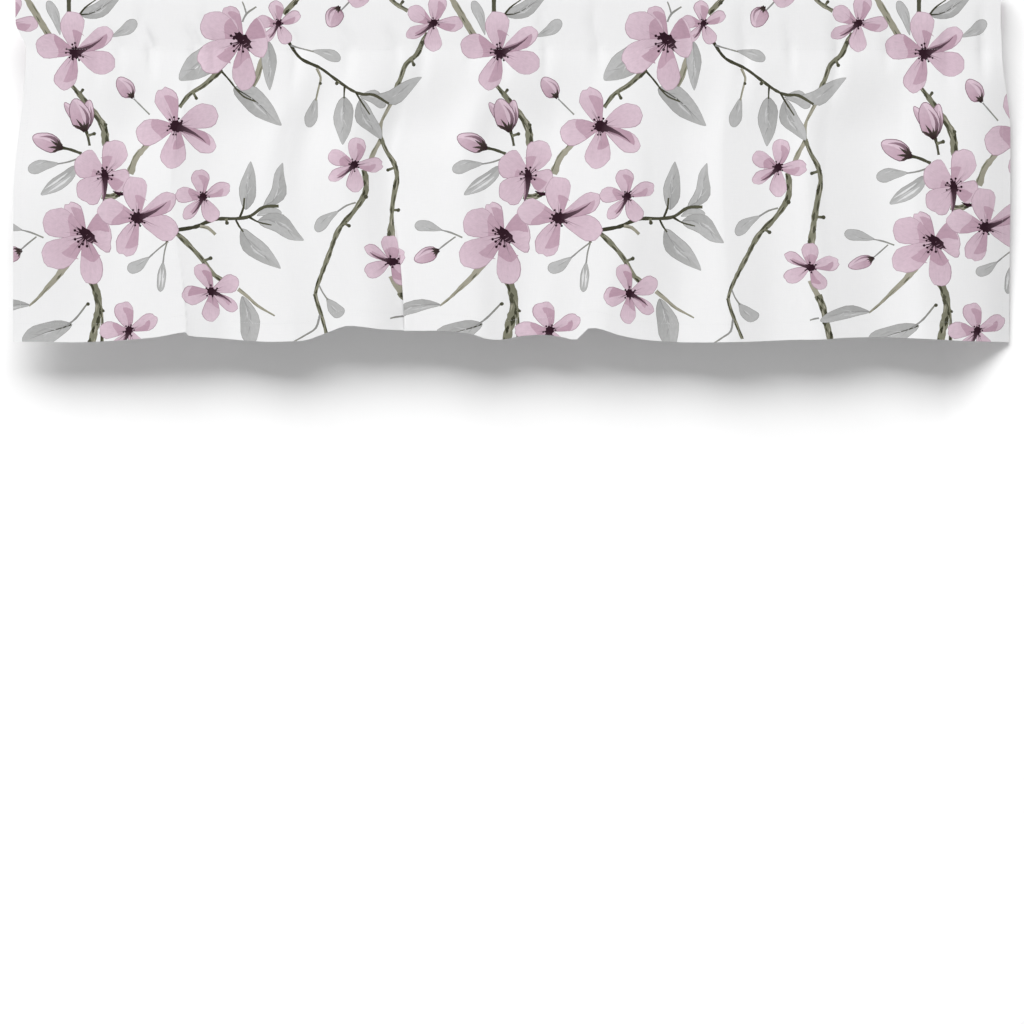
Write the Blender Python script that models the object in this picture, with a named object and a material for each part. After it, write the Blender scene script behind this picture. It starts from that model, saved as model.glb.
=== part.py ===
"""A window valance: one gathered width of printed cloth with a sewn rod pocket along its top.

It hangs as it would from a rod, facing -Y. The origin is at the middle of its top edge, so the cloth
hangs below it. The pocket is a drop-shaped sleeve, and the panel under it falls in shallow folds that
are wider than the puckers that the gathering makes at the stitch line.
"""

import math
from collections import namedtuple

import bmesh
import bpy
from mathutils import Vector

# Driving dimensions, in metres
FLAT_WIDTH = 1.372
DROP = 0.457
POCKET_DROP = 0.080
ROD_SLEEVE_RADIUS = 0.0155
POCKET_FOOT_WIDTH = 0.0036
SHEET = 0.0012
HEM_SHEET = 0.0020
BOTTOM_HEM = 0.026
SIDE_HEM = 0.012
HEM_STEP = 0.0010
GAP = 0.0003

# Side edges, as far from the middle as they hang
STITCH_LEFT, STITCH_RIGHT = -0.6245, 0.6310
ROD_LEFT, ROD_RIGHT = -0.6380, 0.6290

# How far in front of the stitch line the fold crests hang
CREST_FORWARD = 0.008
# Shares of the panel's length over which the gathers open into folds, and over which its side edges
# spread from the stitch line to their full width
FOLD_OPENING = 0.50
LEFT_SPREAD, RIGHT_SPREAD = 0.52, 0.28
# The share of the pocket's height over which it spreads again from the stitch line to the rod
POCKET_SPREAD = 0.45
# Where the folds start to change from their form at half length to their form at the hem
MIDDLE = 0.45
# The height over which the pocket's two walls pucker as one. Above it the back wall puckers inwards
# as the front wall does, but by a smaller share.
JOINED_HEIGHT = 0.020
BACK_PUCKERS = 0.6

# Each crest, slope and trough from left to right, in metres: across is its place at the hem and lean how
# far right of that it is at half length; back is its depth at the hem and middle its depth at half
# length; lift is how far the hem is raised there.
Fold = namedtuple("Fold", "name across lean back middle lift")
FOLDS = (
    Fold("left_edge", -0.6426, 0.0010, 0.0080, 0.0060, 0.0000),
    Fold("left_face", -0.6013, 0.0000, 0.0030, 0.0035, 0.0000),
    Fold("left_dip", -0.5627, -0.0050, 0.0050, 0.0100, 0.0005),
    Fold("left_crest", -0.4982, 0.0000, 0.0000, 0.0000, 0.0031),
    Fold("crease_start", -0.4531, 0.0000, 0.0000, 0.0000, 0.0070),
    Fold("crease_lip", -0.4260, 0.0020, 0.0015, 0.0030, 0.0130),
    Fold("crease_foot", -0.4131, 0.0010, 0.0185, 0.0140, 0.0095),
    Fold("crease_trough", -0.3886, 0.0000, 0.0210, 0.0145, 0.0070),
    Fold("crease_rise", -0.3564, 0.0000, 0.0070, 0.0050, 0.0050),
    Fold("second_crest", -0.3216, 0.0000, 0.0010, 0.0010, 0.0031),
    Fold("second_slope", -0.2855, -0.0040, 0.0050, 0.0060, 0.0025),
    Fold("shallow_trough", -0.2597, -0.0090, 0.0140, 0.0110, 0.0044),
    Fold("wave_rise", -0.2301, -0.0060, 0.0050, 0.0030, 0.0153),
    Fold("wave_crest", -0.2056, -0.0060, 0.0010, 0.0010, 0.0211),
    Fold("pleat_slope", -0.1759, -0.0120, 0.0090, 0.0120, 0.0186),
    Fold("pleat_trough", -0.1476, -0.0160, 0.0290, 0.0210, 0.0160),
    Fold("pleat_back", -0.1310, -0.0190, 0.0230, 0.0170, 0.0156),
    Fold("pleat_lip", -0.1399, -0.0160, 0.0060, 0.0045, 0.0153),
    Fold("pleat_face", -0.1179, -0.0140, 0.0000, 0.0000, 0.0153),
    Fold("middle_crest", -0.0793, -0.0060, 0.0000, 0.0000, 0.0147),
    Fold("drop_lip", -0.0483, 0.0000, 0.0025, 0.0015, 0.0095),
    Fold("drop_foot", -0.0303, 0.0020, 0.0190, 0.0150, 0.0031),
    Fold("drop_trough", -0.0110, 0.0000, 0.0210, 0.0150, 0.0037),
    Fold("drop_rise", 0.0174, 0.0000, 0.0080, 0.0070, 0.0102),
    Fold("centre_crest", 0.0496, 0.0000, 0.0010, 0.0010, 0.0089),
    Fold("notch_left", 0.0857, 0.0000, 0.0020, 0.0010, 0.0037),
    Fold("notch_right", 0.1000, 0.0000, 0.0035, 0.0020, 0.0180),
    Fold("broad_slope", 0.1399, 0.0120, 0.0150, 0.0080, 0.0102),
    Fold("broad_trough", 0.1785, 0.0120, 0.0220, 0.0180, 0.0024),
    Fold("broad_rise", 0.2146, 0.0030, 0.0090, 0.0100, 0.0012),
    Fold("tall_crest", 0.2494, 0.0000, 0.0000, 0.0010, 0.0000),
    Fold("even_slope", 0.2816, 0.0000, 0.0060, 0.0045, 0.0005),
    Fold("even_trough", 0.3100, 0.0000, 0.0200, 0.0140, 0.0018),
    Fold("even_rise", 0.3409, 0.0000, 0.0080, 0.0055, 0.0037),
    Fold("right_crest", 0.3719, 0.0000, 0.0000, 0.0000, 0.0037),
    Fold("deep_lip", 0.4028, -0.0020, 0.0035, 0.0015, 0.0034),
    Fold("deep_foot", 0.4221, -0.0060, 0.0280, 0.0230, 0.0057),
    Fold("deep_trough", 0.4492, -0.0060, 0.0240, 0.0175, 0.0075),
    Fold("deep_rise", 0.4814, 0.0000, 0.0090, 0.0085, 0.0070),
    Fold("last_crest", 0.5111, 0.0000, 0.0000, 0.0010, 0.0059),
    Fold("last_slope", 0.5394, 0.0000, 0.0045, 0.0035, 0.0041),
    Fold("last_trough", 0.5755, 0.0000, 0.0155, 0.0090, 0.0018),
    Fold("edge_slope", 0.6103, 0.0000, 0.0205, 0.0130, 0.0012),
    Fold("right_edge", 0.6426, 0.0010, 0.0260, 0.0165, 0.0012),
)

# The puckers that the gathering draws in, in metres: across is the place along the stitch line, deep the
# depth there, wide the half width, and up and down how far each reaches over the pocket and the panel.
Pucker = namedtuple("Pucker", "name across deep wide up down")
PUCKERS = (
    Pucker("left_pair_outer", -0.5320, 0.0022, 0.011, 0.030, 0.070),
    Pucker("left_pair_inner", -0.5060, 0.0020, 0.009, 0.035, 0.060),
    Pucker("tall_left", -0.4630, 0.0034, 0.008, 0.075, 0.020),
    Pucker("over_crease", -0.4050, 0.0036, 0.013, 0.040, 0.090),
    Pucker("tall_crease", -0.3820, 0.0028, 0.009, 0.075, 0.030),
    Pucker("over_shallow_trough", -0.2760, 0.0034, 0.012, 0.070, 0.080),
    Pucker("left_of_pleat", -0.2080, 0.0026, 0.012, 0.060, 0.050),
    Pucker("over_pleat", -0.1500, 0.0030, 0.011, 0.040, 0.060),
    Pucker("right_of_pleat", -0.1130, 0.0032, 0.012, 0.045, 0.070),
    Pucker("mid_left", -0.0500, 0.0024, 0.010, 0.060, 0.040),
    Pucker("over_drop", -0.0080, 0.0026, 0.011, 0.035, 0.070),
    Pucker("mid_right", 0.0460, 0.0030, 0.010, 0.070, 0.060),
    Pucker("tall_centre", 0.1100, 0.0034, 0.009, 0.078, 0.030),
    Pucker("over_broad", 0.1880, 0.0026, 0.013, 0.040, 0.080),
    Pucker("broad_right", 0.2300, 0.0022, 0.010, 0.055, 0.040),
    Pucker("over_even", 0.3010, 0.0036, 0.012, 0.070, 0.080),
    Pucker("even_right", 0.3600, 0.0022, 0.009, 0.055, 0.030),
    Pucker("over_deep", 0.4210, 0.0038, 0.012, 0.065, 0.090),
    Pucker("deep_right", 0.4860, 0.0022, 0.010, 0.050, 0.040),
    Pucker("right_pair_inner", 0.5590, 0.0030, 0.011, 0.040, 0.080),
    Pucker("right_pair_outer", 0.6080, 0.0038, 0.010, 0.078, 0.050),
)

# Rows of points down the panel, as shares of its length, and down each pocket wall, as shares of the drop
PANEL_ROWS = (0.0, 0.04, 0.10, 0.18, 0.28, 0.40, 0.53, 0.67, 0.81)
POCKET_WALL_ROWS = (1.0, 0.90, 0.74, 0.56, 0.38)
CROWN_ANGLES = (0, 30, 60, 90, 120, 150, 180)

# Columns of points are this far apart at most, with one more for each such turn of the cloth
PANEL_STEP = 0.0180
POCKET_STEP = 0.0260
COLUMN_TURN = math.radians(48)
SURVEY_STEP = 0.0010
# Lengths nearer than this count as equal
TINY = 0.000001

CLOTH_COLOUR = (0.90, 0.89, 0.90, 1.0)


def smoothstep(value):
    value = min(1.0, max(0.0, value))
    return value * value * (3.0 - 2.0 * value)


def fold_stations():
    """The place of each fold row along the flat cloth, from its left edge."""
    along = [0.0]
    for here, after in zip(FOLDS, FOLDS[1:]):
        along.append(along[-1] + math.hypot(after.across - here.across, after.back - here.back))
    return [place * FLAT_WIDTH / along[-1] for place in along]


STATIONS = fold_stations()


def interval_of(flat):
    """The index of the fold row at or before a place on the flat cloth."""
    index = 0
    while index < len(STATIONS) - 2 and flat > STATIONS[index + 1]:
        index += 1
    return index


def column_value(values, flat):
    """A table column as a smooth function of the place on the flat cloth."""
    last = len(STATIONS) - 1
    index = interval_of(flat)

    def slope(row):
        before, after = max(row - 1, 0), min(row + 1, last)
        return (values[after] - values[before]) / (STATIONS[after] - STATIONS[before])

    length = STATIONS[index + 1] - STATIONS[index]
    share = (flat - STATIONS[index]) / length
    start, end = values[index], values[index + 1]
    leave, arrive = slope(index) * length, slope(index + 1) * length
    square, cube = share**2, share**3
    return (
        start * (2 * cube - 3 * square + 1)
        + leave * (cube - 2 * square + share)
        + end * (3 * square - 2 * cube)
        + arrive * (cube - square)
    )


HEM_ACROSS = [fold.across for fold in FOLDS]
MIDDLE_ACROSS = [fold.across + fold.lean for fold in FOLDS]
HEM_BACK = [fold.back for fold in FOLDS]
MIDDLE_BACK = [fold.middle for fold in FOLDS]
HEM_LIFT = [fold.lift for fold in FOLDS]


def along_line(flat, left, right):
    """Where the evenly gathered cloth lies between two ends."""
    return left + (right - left) * flat / FLAT_WIDTH


def pucker_depth(flat, above):
    """How far the puckers draw the cloth back at a height above the stitch line, or below it if negative."""
    across = along_line(flat, STITCH_LEFT, STITCH_RIGHT)
    depth = 0.0
    for pucker in PUCKERS:
        aside = (across - pucker.across) / pucker.wide
        reach = above / pucker.up if above > 0 else -above / pucker.down
        if abs(aside) < 2.5 and reach < 1:
            depth += pucker.deep * math.exp(-2.0 * aside**2) * (1 - smoothstep(reach))
    return depth


def panel_point(flat, share):
    """A point on the panel's face, by its place across the flat cloth and its share of the way down."""
    lower = smoothstep((share - MIDDLE) / (1.0 - MIDDLE))
    opened = smoothstep(share / FOLD_OPENING)
    spread = smoothstep(share / along_line(flat, LEFT_SPREAD, RIGHT_SPREAD))
    stitched = along_line(flat, STITCH_LEFT, STITCH_RIGHT)
    across = (1 - lower) * column_value(MIDDLE_ACROSS, flat) + lower * column_value(HEM_ACROSS, flat)
    back = (1 - lower) * column_value(MIDDLE_BACK, flat) + lower * column_value(HEM_BACK, flat)
    length = DROP - POCKET_DROP - column_value(HEM_LIFT, flat) * share
    return Vector((
        stitched + (across - stitched) * spread,
        (back - CREST_FORWARD) * opened + pucker_depth(flat, -share * length),
        -POCKET_DROP - length * share,
    ))


def wall_depth(drop, side):
    """How far back a pocket wall lies at a distance below its top. Side is -1 in front and 1 behind."""
    share = max(0.0, (drop - ROD_SLEEVE_RADIUS) / (POCKET_DROP - ROD_SLEEVE_RADIUS))
    foot = 0.0 if side < 0 else POCKET_FOOT_WIDTH
    return side * ROD_SLEEVE_RADIUS * (1 - share) + foot * share


def pocket_ring():
    """The stations round the pocket's outside as (drop, depth, side), from the front foot to the back."""
    radius = ROD_SLEEVE_RADIUS
    drops = [share * POCKET_DROP for share in POCKET_WALL_ROWS]
    drops[0] -= GAP
    front = [(drop, wall_depth(drop, -1), -1) for drop in drops]
    back = [(drop, wall_depth(drop, 1), 1) for drop in reversed(drops)]
    crown = []
    for angle in CROWN_ANGLES:
        turn = math.radians(angle)
        side = -1 if angle < 90 else 1
        crown.append((radius - radius * math.sin(turn), -radius * math.cos(turn), side))
    return front + crown + back


def pocket_point(flat, drop, depth, side):
    """A point on the pocket's outside, by its place across the flat cloth and its station."""
    above = POCKET_DROP - drop
    spread = smoothstep(above / POCKET_DROP / POCKET_SPREAD)
    stitched = along_line(flat, STITCH_LEFT, STITCH_RIGHT)
    on_rod = along_line(flat, ROD_LEFT, ROD_RIGHT)
    if side < 0:
        pucker = pucker_depth(flat, above)
    else:
        joined = smoothstep(1 - above / JOINED_HEIGHT)
        pucker = pucker_depth(flat, above) * (joined - (1 - joined) * BACK_PUCKERS)
    return Vector((stitched + (on_rod - stitched) * spread, depth + pucker, -drop))


def columns(step, lines):
    """Places across the flat cloth, about a step apart and closer where one of the lines turns."""
    count = round(FLAT_WIDTH / SURVEY_STEP)
    places = [FLAT_WIDTH * number / count for number in range(count + 1)]
    cost = [place / step for place in places]
    for point_at in lines:
        line = [point_at(place) for place in places]
        turned = 0.0
        for number in range(1, count):
            turned += (line[number] - line[number - 1]).angle(line[number + 1] - line[number])
            cost[number] += turned / COLUMN_TURN
        cost[count] += turned / COLUMN_TURN
    count = math.ceil(cost[-1])
    chosen = []
    index = 0
    for number in range(1, count):
        while cost[index] < cost[-1] * number / count:
            index += 1
        chosen.append(places[index])
    inside = [place for place in chosen if SIDE_HEM + HEM_STEP < place < FLAT_WIDTH - SIDE_HEM - HEM_STEP]
    left = [0.0, SIDE_HEM / 2, SIDE_HEM, SIDE_HEM + HEM_STEP]
    right = [FLAT_WIDTH - place for place in reversed(left)]
    return left + inside + right


def cloth_material():
    material = bpy.data.materials.new("printed_cloth")
    material.use_nodes = True
    shader = material.node_tree.nodes["Principled BSDF"]
    shader.inputs["Base Color"].default_value = CLOTH_COLOUR
    shader.inputs["Roughness"].default_value = 0.85
    shader.inputs["Metallic"].default_value = 0.0
    return material


def grid_object(name, rows, closed):
    """An object whose faces join rows of points. A closed grid also joins its last row to its first."""
    shape = bmesh.new()
    verts = [[shape.verts.new(point) for point in row] for row in rows]
    pairs = list(zip(verts, verts[1:]))
    if closed:
        pairs.append((verts[-1], verts[0]))
    for lower, upper in pairs:
        for index in range(len(lower) - 1):
            shape.faces.new((lower[index], lower[index + 1], upper[index + 1], upper[index]))
    mesh = bpy.data.meshes.new(name)
    shape.to_mesh(mesh)
    shape.free()
    mesh.shade_smooth()
    mesh.materials.append(cloth_material())
    made = bpy.data.objects.new(name, mesh)
    bpy.context.scene.collection.objects.link(made)
    return made


def thicken(made, thickness, thin_share=None):
    """Gives the sheet its thickness behind its face. Where the group has weight 0, it has thin_share of it."""
    solidify = made.modifiers.new("Thickness", "SOLIDIFY")
    solidify.thickness = thickness
    solidify.offset = -1.0
    if thin_share is not None:
        solidify.vertex_group = "hem"
        solidify.thickness_vertex_group = thin_share


def in_hem(flat, below_top, length):
    """Whether a point of the panel lies in a turned hem, by its place and its distance down."""
    at_side = min(flat, FLAT_WIDTH - flat) <= SIDE_HEM + TINY
    return at_side or below_top >= length - BOTTOM_HEM - TINY


def build_panel():
    """The hanging panel, from just under the stitch line to the hem, with its hems twice as thick."""
    length = DROP - POCKET_DROP
    hem_top = 1.0 - BOTTOM_HEM / length
    shares = list(PANEL_ROWS) + [hem_top - HEM_STEP / length, hem_top, 1.0]
    places = columns(PANEL_STEP, [lambda flat: panel_point(flat, 1.0), lambda flat: panel_point(flat, 0.0)])
    rows = [[panel_point(flat, share) for flat in places] for share in reversed(shares)]
    panel = grid_object("valance_panel", rows, closed=False)
    group = panel.vertex_groups.new(name="hem")
    turned = [
        row * len(places) + column
        for row, share in enumerate(reversed(shares))
        for column, flat in enumerate(places)
        if in_hem(flat, share * length, length)
    ]
    group.add(turned, 1.0, "REPLACE")
    thicken(panel, HEM_SHEET, thin_share=SHEET / HEM_SHEET)
    return panel


def build_pocket():
    """The sleeve for the rod, open at both ends, with its two walls sewn together at its foot."""
    ring = pocket_ring()
    places = columns(POCKET_STEP, [lambda flat: pocket_point(flat, *ring[1])])
    rows = [[pocket_point(flat, *station) for flat in places] for station in ring]
    pocket = grid_object("rod_pocket", rows, closed=True)
    thicken(pocket, SHEET)
    return pocket


def main():
    for old in list(bpy.data.objects):
        bpy.data.objects.remove(old, do_unlink=True)
    build_panel()
    build_pocket()


main()
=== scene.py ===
"""A gathered window valance of printed cloth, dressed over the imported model.

The cloth is one thin sheet. It hangs in folds below a gathered stitch line, and above the line it goes
up, over the place of the rod and down again behind, which makes the rod pocket. Its print of blossoms
is drawn into the mesh as patches of ink, so that the print follows the folds. The stitches are small
meshes of thread.
"""

import math
import random
from collections import namedtuple

import bpy
import numpy as np
from bpy.props import FloatProperty, FloatVectorProperty, PointerProperty
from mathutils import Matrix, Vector
from mathutils.geometry import delaunay_2d_cdt


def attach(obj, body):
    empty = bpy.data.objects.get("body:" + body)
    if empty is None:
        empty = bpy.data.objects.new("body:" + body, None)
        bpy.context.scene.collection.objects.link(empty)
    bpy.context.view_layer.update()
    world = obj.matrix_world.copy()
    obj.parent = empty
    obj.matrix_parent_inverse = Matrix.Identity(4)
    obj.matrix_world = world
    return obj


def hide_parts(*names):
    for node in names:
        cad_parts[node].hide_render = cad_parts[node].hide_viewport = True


bl_info = {
    "name": "Printed Window Valance",
    "version": (1, 0, 0),
    "blender": (4, 5, 0),
    "location": "3D View > Sidebar > Valance",
    "description": "Hangs a gathered valance of printed cloth in front of a plain studio wall",
    "category": "Object",
}

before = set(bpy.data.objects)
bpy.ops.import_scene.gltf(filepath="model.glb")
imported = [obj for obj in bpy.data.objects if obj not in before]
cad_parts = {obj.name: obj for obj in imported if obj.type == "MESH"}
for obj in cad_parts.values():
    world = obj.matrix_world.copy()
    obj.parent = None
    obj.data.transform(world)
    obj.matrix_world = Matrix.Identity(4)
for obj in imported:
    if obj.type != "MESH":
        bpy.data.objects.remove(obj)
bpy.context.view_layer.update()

# The print's chart counts in steps of this many metres, to the right and down. The valance's middle is
# at this column, its top edge is at this row, and the print repeats to the right after this many steps.
STEP = 0.001289
MIDDLE_COLUMN = 511.5
TOP_ROW = -12.0
REPEAT = 424.0

# Side edges at the stitch line and on the rod, as far from the middle as they hang
STITCH_LEFT, STITCH_RIGHT = -0.6245, 0.6310
ROD_LEFT, ROD_RIGHT = -0.6380, 0.6290
# How far in front of the rod's middle the stitch line and the foremost folds hang
SEAM_FORWARD = 0.010
CREST_FORWARD = 0.0105
# Shares of the panel's length over which the folds open and the side edges spread below the stitch line
FOLD_OPENING = 0.30
LEFT_SPREAD, RIGHT_SPREAD = 0.52, 0.28
# The share of the panel's length from where the folds go over from their middle form to their hem form
MIDDLE = 0.45
# The share of the pocket's height over which its ends spread
POCKET_SPREAD = 0.45
# Up to this height the pocket's back shares the puckers of its front, and higher up it has this share of
# them, turned the other way
JOINED_HEIGHT = 0.020
BACK_PUCKERS = 0.6
# How far behind the seam the pocket's back ends, how far the turned edge reaches below the stitch line,
# and how wide the ledge is where a hem begins
POCKET_FOOT = 0.0026
FLAP_END = 0.003
HEM_STEP = 0.001
# Where the studio wall starts to come nearer behind the cloth's right end, and where it is nearest
BOW_START, BOW_END = 0.56, 0.648

# The folds from left to right, in metres: across is the place at the hem and lean how far right of that
# it is at half length; back and middle are the depths at the hem and at half length; lift is how far
# the hem is raised; tuck is how far the print's place at the hem differs from across in a hidden fold.
Fold = namedtuple("Fold", "name across lean back middle lift tuck", defaults=(0.0,))
FOLDS = (
    Fold("left_edge", -0.6426, 0.0010, 0.0120, 0.0040, 0.0013),
    Fold("left_face", -0.6013, 0.0000, 0.0120, 0.0015, 0.0010),
    Fold("left_dip", -0.5626, 0.0000, 0.0125, 0.0045, 0.0003),
    Fold("left_wave", -0.5304, 0.0000, 0.0110, 0.0070, 0.0013),
    Fold("left_crest", -0.4995, 0.0000, 0.0080, 0.0090, 0.0031),
    Fold("crease_start", -0.4557, -0.0129, 0.0065, 0.0042, 0.0070),
    Fold("crease_lip", -0.4200, -0.0200, 0.0000, 0.0000, 0.0128),
    Fold("crease_foot", -0.4158, -0.0170, 0.0024, 0.0015, 0.0086),
    Fold("crease_slope", -0.3938, -0.0180, 0.0088, 0.0054, 0.0067),
    Fold("crease_trough", -0.3680, -0.0155, 0.0155, 0.0090, 0.0049),
    Fold("crease_rise", -0.3422, -0.0103, 0.0125, 0.0082, 0.0026),
    Fold("second_crest", -0.3139, -0.0206, 0.0067, 0.0055, 0.0008),
    Fold("second_slope", -0.2829, -0.0309, 0.0023, 0.0017, 0.0013),
    Fold("shallow_slope", -0.2649, -0.0284, 0.0048, 0.0044, 0.0028),
    Fold("shallow_trough", -0.2365, -0.0335, 0.0086, 0.0080, 0.0130),
    Fold("wave_rise", -0.2133, -0.0309, 0.0050, 0.0040, 0.0210),
    Fold("wave_crest", -0.1901, -0.0284, 0.0002, 0.0000, 0.0196),
    Fold("pleat_slope", -0.1695, -0.0284, 0.0032, 0.0030, 0.0170),
    Fold("pleat_trough", -0.1395, -0.0300, 0.0150, 0.0125, 0.0160, -0.0081),
    Fold("pleat_back", -0.1283, -0.0309, 0.0170, 0.0145, 0.0155, -0.0148),
    Fold("pleat_lip", -0.1386, -0.0103, 0.0085, 0.0135, 0.0152, 0.0185),
    Fold("pleat_face", -0.1231, -0.0077, 0.0085, 0.0123, 0.0150, 0.0185),
    Fold("middle_crest", -0.0844, -0.0129, 0.0060, 0.0081, 0.0147, 0.0155),
    Fold("drop_lip", -0.0483, -0.0180, 0.0005, 0.0006, 0.0098, 0.0090),
    Fold("drop_foot", -0.0354, -0.0168, 0.0010, 0.0012, 0.0052, 0.0070),
    Fold("drop_slope", -0.0148, -0.0155, 0.0068, 0.0058, 0.0034, 0.0030),
    Fold("drop_trough", 0.0135, -0.0077, 0.0133, 0.0093, 0.0085),
    Fold("drop_rise", 0.0432, 0.0039, 0.0080, 0.0114, 0.0098),
    Fold("centre_crest", 0.0677, 0.0026, 0.0081, 0.0073, 0.0064),
    Fold("notch_left", 0.0844, 0.0116, 0.0064, 0.0046, 0.0039),
    Fold("notch_right", 0.0986, 0.0155, 0.0032, 0.0022, 0.0178),
    Fold("notch_end", 0.1179, 0.0296, 0.0002, 0.0000, 0.0160),
    Fold("broad_foot", 0.1347, 0.0309, 0.0022, 0.0008, 0.0103),
    Fold("broad_slope", 0.1656, 0.0206, 0.0071, 0.0046, 0.0041),
    Fold("broad_trough", 0.2120, 0.0103, 0.0145, 0.0093, 0.0008),
    Fold("broad_rise", 0.2430, 0.0052, 0.0092, 0.0070, 0.0000),
    Fold("tall_crest", 0.2765, -0.0077, 0.0000, 0.0004, 0.0000),
    Fold("even_lip", 0.2894, -0.0103, 0.0009, 0.0010, 0.0003),
    Fold("even_slope", 0.3048, -0.0077, 0.0045, 0.0034, 0.0008),
    Fold("even_trough", 0.3358, 0.0000, 0.0099, 0.0076, 0.0023),
    Fold("even_rise", 0.3667, -0.0052, 0.0079, 0.0056, 0.0034),
    Fold("right_crest", 0.3925, -0.0129, 0.0036, 0.0004, 0.0034),
    Fold("deep_lip", 0.4054, -0.0155, 0.0039, 0.0014, 0.0039),
    Fold("deep_foot", 0.4286, -0.0206, 0.0090, 0.0054, 0.0059),
    Fold("deep_trough", 0.4750, -0.0155, 0.0155, 0.0108, 0.0072),
    Fold("deep_rise", 0.5059, -0.0103, 0.0105, 0.0078, 0.0059),
    Fold("last_crest", 0.5291, -0.0077, 0.0025, 0.0002, 0.0046),
    Fold("last_slope", 0.5575, 0.0000, 0.0036, 0.0008, 0.0031),
    Fold("last_trough", 0.5859, 0.0026, 0.0068, 0.0020, 0.0018),
    Fold("edge_slope", 0.6142, -0.0026, 0.0122, 0.0060, 0.0013),
    Fold("right_edge", 0.6426, 0.0010, 0.0240, 0.0165, 0.0010),
)

# The puckers of the gathered stitch line, in metres: across is the place along the line, deep the depth,
# wide the half width, and up and down how far each reaches over the pocket and the panel
Pucker = namedtuple("Pucker", "name across deep wide up down")
PUCKERS = (
    Pucker("left_pair_outer", -0.5320, 0.0022, 0.011, 0.030, 0.070),
    Pucker("left_pair_inner", -0.5060, 0.0020, 0.009, 0.035, 0.060),
    Pucker("tall_left", -0.4630, 0.0034, 0.008, 0.075, 0.050),
    Pucker("over_crease", -0.4050, 0.0036, 0.013, 0.040, 0.090),
    Pucker("tall_crease", -0.3820, 0.0028, 0.009, 0.075, 0.055),
    Pucker("over_shallow_trough", -0.2760, 0.0034, 0.012, 0.070, 0.080),
    Pucker("left_of_pleat", -0.2080, 0.0026, 0.012, 0.060, 0.050),
    Pucker("over_pleat", -0.1500, 0.0030, 0.011, 0.040, 0.060),
    Pucker("right_of_pleat", -0.1130, 0.0032, 0.012, 0.045, 0.070),
    Pucker("mid_left", -0.0500, 0.0024, 0.010, 0.060, 0.040),
    Pucker("over_drop", -0.0080, 0.0026, 0.011, 0.035, 0.070),
    Pucker("mid_right", 0.0460, 0.0030, 0.010, 0.070, 0.060),
    Pucker("tall_centre", 0.1100, 0.0034, 0.009, 0.078, 0.060),
    Pucker("over_broad", 0.1880, 0.0026, 0.013, 0.040, 0.080),
    Pucker("broad_right", 0.2300, 0.0022, 0.010, 0.055, 0.040),
    Pucker("over_even", 0.3010, 0.0036, 0.012, 0.070, 0.080),
    Pucker("even_right", 0.3600, 0.0022, 0.009, 0.055, 0.050),
    Pucker("over_deep", 0.4210, 0.0038, 0.012, 0.065, 0.090),
    Pucker("deep_right", 0.4860, 0.0022, 0.010, 0.050, 0.040),
    Pucker("right_pair_inner", 0.5590, 0.0030, 0.011, 0.040, 0.080),
    Pucker("right_pair_outer", 0.6080, 0.0038, 0.010, 0.078, 0.050),
)

# The cloth's mesh has a column of points at each fold, and others between them at this distance, with
# one more for each such turn of the hem line. It has so many rows on the panel, closer near the top, and
# on the pocket's front, crown and back.
COLUMN_STEP = 0.0130
COLUMN_TURN = math.radians(28)
PANEL_ROWS, FRONT_ROWS, CROWN_ROWS, BACK_ROWS = 33, 10, 11, 8
SEARCH_ROUNDS = 26
SURVEY_POINTS = 12
HEM_COLUMNS = 3
ROW_CROWDING = 1.15
ROW_CLEARANCE = 0.008
SAME_PLACE = 1e-4

# The petals of each kind of blossom, drawn in this order: turn is the way each points, in degrees
# clockwise from the right, and long and wide are its sizes in steps. lobe says which part is in shade:
# the root, one side of it, or none; reach is how far the shade goes towards the tip.
Petal = namedtuple("Petal", "turn long wide lobe reach")
BLOSSOM_KINDS = {
    "open": (
        Petal(-96, 41, 24, "right", 0.55),
        Petal(192, 40, 25, "root", 0.50),
        Petal(112, 40, 22, "left", 0.80),
        Petal(21, 42, 24, "none", 0.0),
        Petal(-30, 43, 19, "right", 0.85),
    ),
    "side": (
        Petal(-14, 25, 40, "left", 0.95),
        Petal(-120, 38, 19, "right", 0.85),
        Petal(82, 49, 23, "root", 0.45),
        Petal(204, 46, 30, "root", 0.42),
        Petal(147, 50, 31, "left", 0.60),
    ),
    "small": (
        Petal(-100, 28, 18, "right", 0.80),
        Petal(185, 28, 16, "root", 0.45),
        Petal(66, 27, 17, "none", 0.0),
        Petal(130, 29, 12, "left", 0.70),
        Petal(-23, 29, 15, "right", 0.75),
    ),
    "cup": (
        Petal(-147, 33, 29, "left", 0.40),
        Petal(134, 34, 28, "none", 0.0),
        Petal(15, 25, 24, "right", 0.80),
        Petal(-68, 38, 26, "left", 0.55),
    ),
}

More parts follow.
